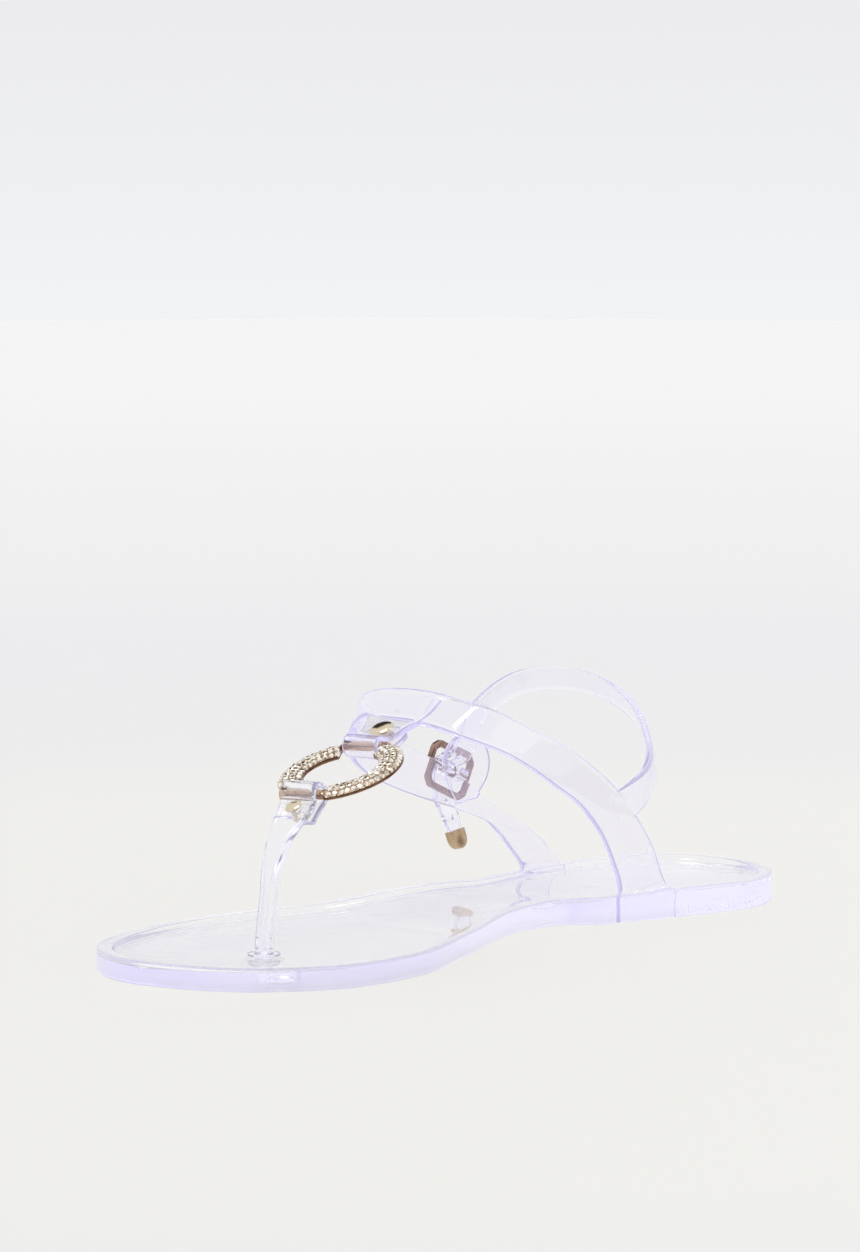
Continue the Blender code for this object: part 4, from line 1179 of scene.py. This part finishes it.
@dataclass
class StoneRing:
    """Oval ring with stones set on its two arcs."""

    bar: TBar
    steps: int = 240
    stone: float = 1.72
    bead: float = 0.22
    rows: Row = (0.12, 0.37, 0.62, 0.87)
    outer_drop: float = 1.15
    inner_drop: float = 0.95
    pave_depth: float = 0.16

    def dome(self, share: float, arc: float) -> tuple[float, float]:
        """Height and slope of the ring's top.

        Args:
            share: Place across the band, from 0 at the outer edge to 1 at the inner one.
            arc: How much the ring is an arc there.

        Returns:
            The height above the ring's middle plane and the tilt outwards in radians.
        """
        half = self.bar.ring_thickness / 2
        drop = self.outer_drop if share < 0.45 else self.inner_drop
        away = (0.45 - share) / 0.45 if share < 0.45 else (share - 0.45) / 0.55
        level = half - drop * arc * away ** 2
        reach = self.bar.arc_width * (0.45 if share < 0.45 else 0.55)
        tilt = math.atan(2 * drop * arc * away / reach)
        return level, tilt if share < 0.45 else -tilt

    def frame(self) -> bpy.types.Object:
        """The ring's metal, whose arcs are domed between polished rims."""
        _, _, normal = self.bar.axes()
        half = self.bar.ring_thickness / 2
        sections = []
        for k in range(self.steps):
            outer, radial, width, arc = self.bar.ring_frame_at(2 * math.pi * k / self.steps)
            edge = 0.3
            first, _ = self.dome(0.0, arc)
            final, _ = self.dome(1.0, arc)
            lines = [(0.0, -half + edge), (0.0, first - edge), (edge * 0.3, first - edge * 0.3), (edge, first)]
            for c in range(1, 8):
                share = c / 8
                sink = self.pave_depth * arc * math.sin(math.pi * share) ** 0.4
                lines.append((edge + (width - 2 * edge) * share, self.dome(share, arc)[0] - sink))
            lines += [(width - edge, final), (width - edge * 0.3, final - edge * 0.3), (width, final - edge),
                      (width, -half + edge), (width - edge, -half), (edge, -half)]
            sections.append([outer - radial * inward + normal * level for inward, level in lines])
        return loft("ring_metal_frame", sections, closed=True)

    def paint_side_shade(self, ring: bpy.types.Object, side: bpy.types.Material) -> None:
        """Give the upright faces of the two arcs a darker copy of the plate: painted shade on the arcs' sides.

        Args:
            ring: The finished ring, in metres, with its main material.
            side: Material of its sides, darker for the painted shade.
        """
        _, _, normal = self.bar.axes()
        ring.data.materials.append(side)
        count = len(ring.data.polygons) // self.steps
        for face in ring.data.polygons:
            angle = 2 * math.pi * (face.index // count + 0.5) / self.steps
            arc = self.bar.ring_frame_at(angle)[3]
            # Upright faces on the arcs get the painted shade
            if arc > 0.5 and abs(face.normal.dot(normal)) < 0.62:
                face.material_index = 1

    def seats(self) -> list[tuple[Vector, Vector, Vector, Vector]]:
        """Places of the stones, each with the directions along, across and out of the band."""
        _, _, normal = self.bar.axes()
        samples = 1440
        seats = []
        for row, share in enumerate(self.rows):
            travelled = self.stone * 0.5 * (row % 2)
            last: Vector | None = None
            for k in range(samples + 1):
                angle = 2 * math.pi * k / samples
                outer, radial, width, arc = self.bar.ring_frame_at(angle)
                level, tilt = self.dome(share, arc)
                place = outer - radial * width * share + normal * (level - self.pave_depth)
                if last is not None:
                    travelled += (place - last).length
                last = place
                if arc < 0.90:
                    travelled = min(travelled, self.stone * 0.5)
                    continue
                if travelled >= self.stone * 0.99:
                    travelled = 0.0
                    run = normal.cross(radial).normalized()
                    up = (normal * math.cos(tilt) + radial * math.sin(tilt)).normalized()
                    seats.append((place, run, run.cross(up).normalized(), up))
        return seats

    def stones(self) -> bpy.types.Object:
        """Brilliant-cut crowns of all the stones, as one mesh."""
        verts: list[Vector] = []
        faces: list[tuple[int, ...]] = []
        sides = 8
        levels = ((0.50, -0.25, 0.5), (0.50, 0.04, 0.5), (0.40, 0.20, 0.0), (0.27, 0.29, 0.5))
        for index, (place, run, radial, normal) in enumerate(self.seats()):
            tilt = 0.12 * math.sin(index * 2.4)
            lean = 0.12 * math.cos(index * 1.7)
            up = (normal + run * tilt + radial * lean).normalized()
            side = up.cross(run).normalized()
            ahead = side.cross(up).normalized()
            base = len(verts)
            for radius, level, shift in levels:
                for k in range(sides):
                    angle = 2 * math.pi * (k + shift) / sides + index
                    verts.append(place + ahead * math.cos(angle) * radius * self.stone
                                 + side * math.sin(angle) * radius * self.stone + up * level * self.stone)
            for row in range(len(levels) - 1):
                a = base + row * sides
                b = a + sides
                for k in range(sides):
                    j = (k + 1) % sides
                    faces += [(a + k, a + j, b + j), (a + k, b + j, b + k)]
            faces.append(tuple(base + k for k in range(sides)))
            faces.append(tuple(base + 3 * sides + k for k in range(sides)))
        return mesh_object("ring_stones", verts, faces)

    def beads(self) -> bpy.types.Object:
        """Small bead prongs between the stones, as one mesh."""
        verts: list[Vector] = []
        faces: list[tuple[int, ...]] = []
        sides = 6
        for place, run, radial, normal in self.seats():
            for aside in (-1, 1):
                middle = place + run * self.stone * 0.50 + normal * 0.12
                middle += radial * aside * self.stone * 0.44
                base = len(verts)
                for radius, level in ((self.bead, 0.0), (self.bead * 0.8, self.bead * 0.8)):
                    for k in range(sides):
                        angle = 2 * math.pi * k / sides
                        way = run * math.cos(angle) + radial * math.sin(angle)
                        verts.append(middle + way * radius + normal * level)
                verts.append(middle + normal * self.bead * 1.2)
                for k in range(sides):
                    j = (k + 1) % sides
                    faces.append((base + k, base + j, base + sides + j, base + sides + k))
                    faces.append((base + sides + k, base + sides + j, base + 2 * sides))
                faces.append(tuple(base + k for k in range(sides)))
        return mesh_object("ring_beads", verts, faces)


@dataclass
class Rivets:
    """Domed rivets through the tongue and through the post."""

    bar: TBar
    tab_radius: float = 3.5
    post_radius: float = 2.4
    tab_grip: float = 3.0
    dome: float = 1.1
    shank: float = 1.2
    foot: float = 0.7

    def solid(self, name: str, place: Vector, axis: Vector, grip: float, radius: float, lower: float,
              dome: float) -> bpy.types.Object:
        """A rivet with a domed head and a flat one.

        Args:
            name: Name of the piece.
            place: Where the shank leaves the flat head.
            axis: Direction to the domed head.
            grip: Length of the shank.
            radius: Radius of the domed head.
            lower: Radius of the flat head.
            dome: Height of the domed head.

        Returns:
            The rivet, in millimetres.
        """
        profile = [(0.0, -self.foot), (lower * 0.80, -self.foot), (lower * 0.95, -self.foot * 0.85),
                   (lower, -self.foot * 0.5), (lower, -0.08), (lower - 0.1, 0.0), (self.shank, 0.0),
                   (self.shank, grip), (radius - 0.12, grip), (radius, grip + 0.10)]
        for k in range(9):
            angle = math.pi / 2 * k / 9
            profile.append((radius * math.cos(angle) ** 0.8, grip + 0.16 + (dome - 0.16) * math.sin(angle)))
        profile.append((0.0, grip + dome))
        return turned(name, profile, place, axis, 72)

    def tab(self) -> bpy.types.Object:
        """Rivet through the tongue and the end folded back under it."""
        low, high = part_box("tab_rivet")
        middle = (Vector(low) + Vector(high)) / 2 / MILLIMETRE + ORIGIN
        axis = Upper.rivet_direction(self.bar)
        grip = self.tab_grip + 2 * LAST.gap
        start = middle - axis * (grip + self.dome - self.foot) / 2
        return self.solid("tab_rivet_polished", start, axis, grip, self.tab_radius,
                          self.tab_radius * 0.7, self.dome)

    def post(self) -> bpy.types.Object:
        """Small rivet through the post and the end behind it."""
        tail, axis, spread = self.bar.post_rivet_axis()
        half = self.bar.post_thickness / 2 + LAST.gap
        return self.solid("post_rivet_polished", tail - axis * half, axis, spread + 2 * half, self.post_radius,
                          self.post_radius * 0.8, self.dome * 0.7)


@dataclass
class Buckle:
    """Buckle frame with cut corners and a ridge, its bar, the prong and the strap's cap."""

    upper: Upper
    length: float = 14.4
    rail: float = 1.9
    thickness: float = 1.8
    corner_cut: float = 2.2
    pin: float = 0.6
    tip_length: float = 5.6
    tip_wall: float = 0.4

    def frame(self) -> bpy.types.Object:
        """The frame with its bar."""
        across, down, out, centre = self.upper.buckle_axes()
        half = self.thickness / 2
        rail = self.rail
        lines = [(0.0, -half + 0.45), (0.0, half - 0.45), (0.12, half - 0.25), (0.42, half - 0.12),
                 (0.58, half), (rail - 0.58, half), (rail - 0.42, half - 0.12), (rail - 0.12, half - 0.25),
                 (rail, half - 0.45), (rail, -half + 0.45), (rail - 0.12, -half + 0.25), (rail - 0.42, -half + 0.12),
                 (rail - 0.58, -half), (0.58, -half), (0.42, -half + 0.12), (0.12, -half + 0.25)]
        rings = []
        for inset, level in lines:
            w = self.upper.buckle_width / 2 - inset
            d = self.length / 2 - inset
            cut = self.corner_cut - inset * 0.5
            corners = ((-w, -d + cut), (-w + cut, -d), (w - cut, -d), (w, -d + cut),
                       (w, d - cut), (w - cut, d), (-w + cut, d), (-w, d - cut))
            ring = []
            for index, (a, b) in enumerate(corners):
                before = Vector(corners[index - 1])
                after = Vector(corners[(index + 1) % 8])
                here = Vector((a, b))
                start = here + (before - here).normalized() * 0.7
                end = here + (after - here).normalized() * 0.7
                for k in range(6):
                    t = k / 5
                    spot = start.lerp(here, t).lerp(here.lerp(end, t), t)
                    ring.append(centre + across * spot.x + down * spot.y + out * level)
            rings.append(ring)
        sections = [[ring[i] for ring in rings] for i in range(len(rings[0]))]
        frame = loft("buckle_frame_polished", sections, closed=True)
        reach = across * (self.upper.buckle_width / 2 - rail / 2)
        bar = rod("bar", centre - reach, centre + reach, self.upper.buckle_bar, 32)
        return combine(frame, [bar], Join.UNION)

    def prong(self) -> bpy.types.Object:
        """Prong that turns on the bar between the lugs and rests on the top rail."""
        across, down, out, centre = self.upper.buckle_axes()
        half_width = self.upper.lug_width / 2 - LAST.gap
        bore = self.upper.buckle_bar + LAST.gap
        outer = bore + 0.8
        profile = [(bore, -half_width), (outer - 0.12, -half_width), (outer, -half_width + 0.12),
                   (outer, half_width - 0.12), (outer - 0.12, half_width), (bore, half_width)]
        sections = []
        for k in range(48):
            angle = 2 * math.pi * k / 48
            way = down * math.cos(angle) + out * math.sin(angle)
            sections.append([centre + way * radius + across * level for radius, level in profile])
        collar = loft("buckle_prong_polished", sections, closed=True)
        rest = self.thickness / 2 + LAST.gap + self.pin
        end = self.length / 2 - 0.2
        route = smooth_path([
            centre + out * rest * 0.7 - down * self.pin,
            centre + out * rest * 0.95 - down * end * 0.35,
            centre + out * rest * 1.02 - down * end * 0.70,
            centre + out * rest - down * end,
        ], 8)
        pin = []
        for i, (point, run) in enumerate(zip(route, tangents(route))):
            share = i / (len(route) - 1)
            radius = self.pin * (1.0 - 0.22 * share) * (1.0 if share < 0.93 else 0.72)
            face = run.cross(across).normalized()
            turns = [math.tau * k / 20 for k in range(20)]
            pin.append([point + (across * math.cos(turn) + face * math.sin(turn)) * radius for turn in turns])
        return combine(collar, [loft("pin", pin)], Join.UNION)

    def tip(self) -> bpy.types.Object:
        """Rounded metal cap over the end of the strap, open towards the buckle."""
        upper, lower = self.upper.free_end_edges()
        middle = upper[-1].lerp(lower[-1], 0.5)
        side = (lower[-1] - upper[-1]).normalized()
        run = (middle - upper[-2].lerp(lower[-2], 0.5)).normalized()
        side = (side - run * side.dot(run)).normalized()
        face = side.cross(run).normalized()
        wall = LAST.gap + self.tip_wall
        strap = (lower[-1] - upper[-1]).length
        wide = strap / 2 + wall + LAST.gap * 0.5
        thick = self.upper.ankle_thickness / 2 + wall
        tail = self.tip_length * 0.55
        nose = self.tip_length * 0.45
        sections = []
        for level, inset in ((-thick, 0.42), (-thick + 0.12, 0.14), (-thick + 0.42, 0.0), (thick - 0.42, 0.0),
                             (thick - 0.12, 0.14), (thick, 0.42)):
            foot = -tail + inset * 0.4
            outline = [(-wide + inset, foot), (wide - inset, foot)]
            for k in range(25):
                angle = math.pi * k / 24
                outline.append(((wide - inset) * math.cos(angle), nose - 3.4 + (3.4 - inset) * math.sin(angle)))
            sections.append([middle + side * a + run * b + face * level for a, b in outline])
        tip = loft("strap_tip_satin", sections)
        edges = [smooth_path(edge, 3)[-8:] for edge in (upper, lower)]
        rear = [a + (a - b).normalized() * LAST.gap for a, b in zip(*edges)]
        front = [b + (b - a).normalized() * LAST.gap for a, b in zip(*edges)]
        rear.append(rear[-1] + run * LAST.gap)
        front.append(front[-1] + run * LAST.gap)
        pocket = band("pocket", rear, front, self.upper.ankle_thickness + 2 * LAST.gap, 0.3)
        return combine(tip, [pocket], Join.CUT)


@dataclass(frozen=True)
class Studio:
    """Pale table and backdrop, even light, dark cards for the metal, and the camera."""

    camera_place: Row = (0.7707, 0.7536, 0.1798)
    camera_right: Row = (-0.7024, 0.7118, 0.0)
    camera_look: Row = (-0.7091, -0.6997, -0.0865)
    focal_px: float = 3900.0
    long_side_px: float = 1252.0
    reach: float = 6.0
    floor_tones: Sequence[tuple[float, str]] = (
        # metres from the shoe, colour
        (0.31, "#FBFAF7"), (0.46, "#F7F7F8"), (0.90, "#F6F6F8"), (1.50, "#F9F9FA"), (5.2, "#FEFEFF"),
    )
    room_tones: Sequence[tuple[float, str]] = (
        # share of the way from 3 degrees below the horizon to 9 above it, colour
        (0.22, "#F2F3F5"), (0.31, "#F0F1F3"), (0.60, "#ECECEE"), (1.0, "#F6F6F6"),
    )
    boxes: Sequence[tuple[str, Row, float, float]] = (
        # name, place, size, power
        ("key box", (-0.34, 0.60, 0.98), 0.10, 0.3),
        ("fill box", (-0.80, 0.92, 0.42), 0.60, 0.45),
        ("top box", (0.25, -0.15, 1.1), 0.40, 1.8),
    )
    cards: Sequence[tuple[Row, float, Row, str]] = (
        # direction, distance, width and height, colour
        ((0.71, 0.70, 0.22), 1.6, (2.0, 0.9), "#140E0B"),
        ((-0.435, -0.67, 0.62), 1.2, (0.6, 0.5), "#241A14"),
        ((-0.63, 0.74, 0.05), 1.4, (0.6, 0.6), "#5A4A42"),
    )

    def camera(self) -> None:
        """The camera, level, at the photograph's place."""
        data = bpy.data.cameras.new("camera")
        data.sensor_width = 36.0
        data.lens = self.focal_px * 36.0 / self.long_side_px
        data.clip_start = 0.05
        obj = bpy.data.objects.new("camera", data)
        bpy.context.scene.collection.objects.link(obj)
        right = Vector(self.camera_right).normalized()
        back = -Vector(self.camera_look).normalized()
        up = back.cross(right).normalized()
        turn = Matrix((right, up, back)).transposed().to_4x4()
        obj.matrix_world = Matrix.Translation(Vector(self.camera_place)) @ turn
        bpy.context.scene.camera = obj

    def floor(self) -> None:
        """Matt off-white table, which turns to a cooler backdrop paper round the shoe."""
        size = 16.0
        level = -0.0002
        corners = [Vector((size * a, size * b, level)) for a, b in ((-1, -1), (1, -1), (1, 1), (-1, 1))]
        floor = mesh_object("floor", corners, [(0, 1, 2, 3)])
        if floor.data.polygons[0].normal.z < 0:
            floor.data.flip_normals()
        mat, shader = bare_material("matt off-white paper")
        shader.inputs["Roughness"].default_value = 0.6
        shader.inputs["Specular IOR Level"].default_value = 0.15
        place = add_node(mat, "ShaderNodeTexCoord")
        radius = add_node(mat, "ShaderNodeVectorMath", {"operation": "LENGTH"},
                          links={0: place.outputs["Object"]})
        share = add_node(mat, "ShaderNodeMapRange", values={"From Max": self.reach},
                         links={"Value": radius.outputs["Value"]})
        ramp = add_node(mat, "ShaderNodeValToRGB", links={"Fac": share.outputs["Result"]})
        spread_stops(ramp.color_ramp, [(r / self.reach, colour) for r, colour in self.floor_tones])
        mat.node_tree.links.new(ramp.outputs["Color"], shader.inputs["Base Color"])
        floor.data.materials.append(mat)

    def light(self) -> None:
        """Even pale room, soft boxes, and dark cards that only gloss sees."""
        world = bpy.data.worlds.new("pale room")
        world.use_nodes = True
        tree = world.node_tree
        place = tree.nodes.new("ShaderNodeTexCoord")
        parts = tree.nodes.new("ShaderNodeSeparateXYZ")
        share = tree.nodes.new("ShaderNodeMapRange")
        share.inputs["From Min"].default_value = -0.05
        share.inputs["From Max"].default_value = 0.15
        ramp = tree.nodes.new("ShaderNodeValToRGB")
        spread_stops(ramp.color_ramp, self.room_tones)
        tree.links.new(place.outputs["Generated"], parts.inputs["Vector"])
        tree.links.new(parts.outputs["Z"], share.inputs["Value"])
        tree.links.new(share.outputs["Result"], ramp.inputs["Fac"])
        tree.links.new(ramp.outputs["Color"], tree.nodes["Background"].inputs["Color"])
        bpy.context.scene.world = world
        for name, place_at, size, power in self.boxes:
            data = bpy.data.lights.new(name, "AREA")
            data.energy = power
            data.size = size
            obj = bpy.data.objects.new(name, data)
            obj.location = place_at
            obj.rotation_euler = (Vector((0, 0, 0.04)) - Vector(place_at)).to_track_quat("-Z", "Y").to_euler()
            obj.visible_diffuse = False
            bpy.context.scene.collection.objects.link(obj)
        for index, (way, distance, size, colour) in enumerate(self.cards):
            centre = Vector(way).normalized() * distance
            back = (-centre).normalized()
            side = back.cross(Vector((0, 0, 1))).normalized()
            rise = side.cross(back)
            halves = ((-0.5, -0.5), (0.5, -0.5), (0.5, 0.5), (-0.5, 0.5))
            corners = [centre + side * size[0] * a + rise * size[1] * b for a, b in halves]
            card = mesh_object(f"card_{index}", corners, [(0, 1, 2, 3)])
            mat, shader = bare_material(f"dark felt card {index}")
            shader.inputs["Base Color"].default_value = linear(colour)
            shader.inputs["Roughness"].default_value = 0.95
            card.data.materials.append(mat)
            card.visible_camera = False
            card.visible_diffuse = False
            card.visible_transmission = False
            card.visible_shadow = False
        bpy.context.scene.view_settings.view_transform = "Standard"


def spread_stops(ramp: bpy.types.ColorRamp, stops: Sequence[tuple[float, str]]) -> None:
    """Give a colour ramp its stops, as positions and sRGB hex colours."""
    while len(ramp.elements) < len(stops):
        ramp.elements.new(1.0)
    for element, (position, colour) in zip(ramp.elements, stops):
        element.position = position
        element.color = linear(colour)


def main() -> None:
    """Build the sandal's pieces in order and set up the studio."""
    logging.basicConfig(level=logging.INFO, format="%(name)s: %(message)s")
    sole = Sole()
    bar = TBar()
    foot = bar.post_foot()
    plug_top = sole.bottom(foot.x) + 2 * LAST.gap + 1.8
    base = sole.build(foot, bar.post_width / 2 + LAST.gap, 5.5, plug_top)
    clear_piece(dress(to_metres(base, 35), SOLE_PVC.build(), Slot.SOLE, "sole"))
    strap = Upper(bar, sole)
    clear_piece(dress(to_metres(strap.build(), 45), UPPER_PVC.build(), Slot.UPPER, "upper"))
    post = bar.post(sole)
    clear_piece(dress(to_metres(post, 45), POST_PVC.build(), Slot.POST, "toe_post"))
    ring = StoneRing(bar)
    gold = RING_GOLD.build()
    band_of_ring = dress(to_metres(ring.frame(), 40), gold, Slot.RING, "ring_frame")
    ring.paint_side_shade(band_of_ring, RING_PAINTED_SIDE_SHADE.build())
    dress(to_metres(ring.beads(), 60), gold, Slot.RING)
    dress(to_metres(ring.stones(), 5), STONE.build(), Slot.RING)
    rivets = Rivets(bar)
    rivet_gold = RIVET_GOLD.build()
    dress(to_metres(rivets.tab(), 40), rivet_gold, Slot.TAB_RIVET, "tab_rivet")
    dress(to_metres(rivets.post(), 40), rivet_gold, Slot.POST_RIVET, "post_rivet")
    buckle = Buckle(strap)
    buckle_gold = BUCKLE_GOLD.build()
    dress(to_metres(buckle.frame(), 30), buckle_gold, Slot.BUCKLE, "buckle_frame")
    dress(to_metres(buckle.prong(), 40), buckle_gold, Slot.PRONG, "buckle_prong")
    dress(to_metres(buckle.tip(), 35), TIP_GOLD.build(), Slot.TIP, "strap_tip")
    studio = Studio()
    studio.camera()
    studio.floor()
    studio.light()


if __name__ == "__main__":
    main()
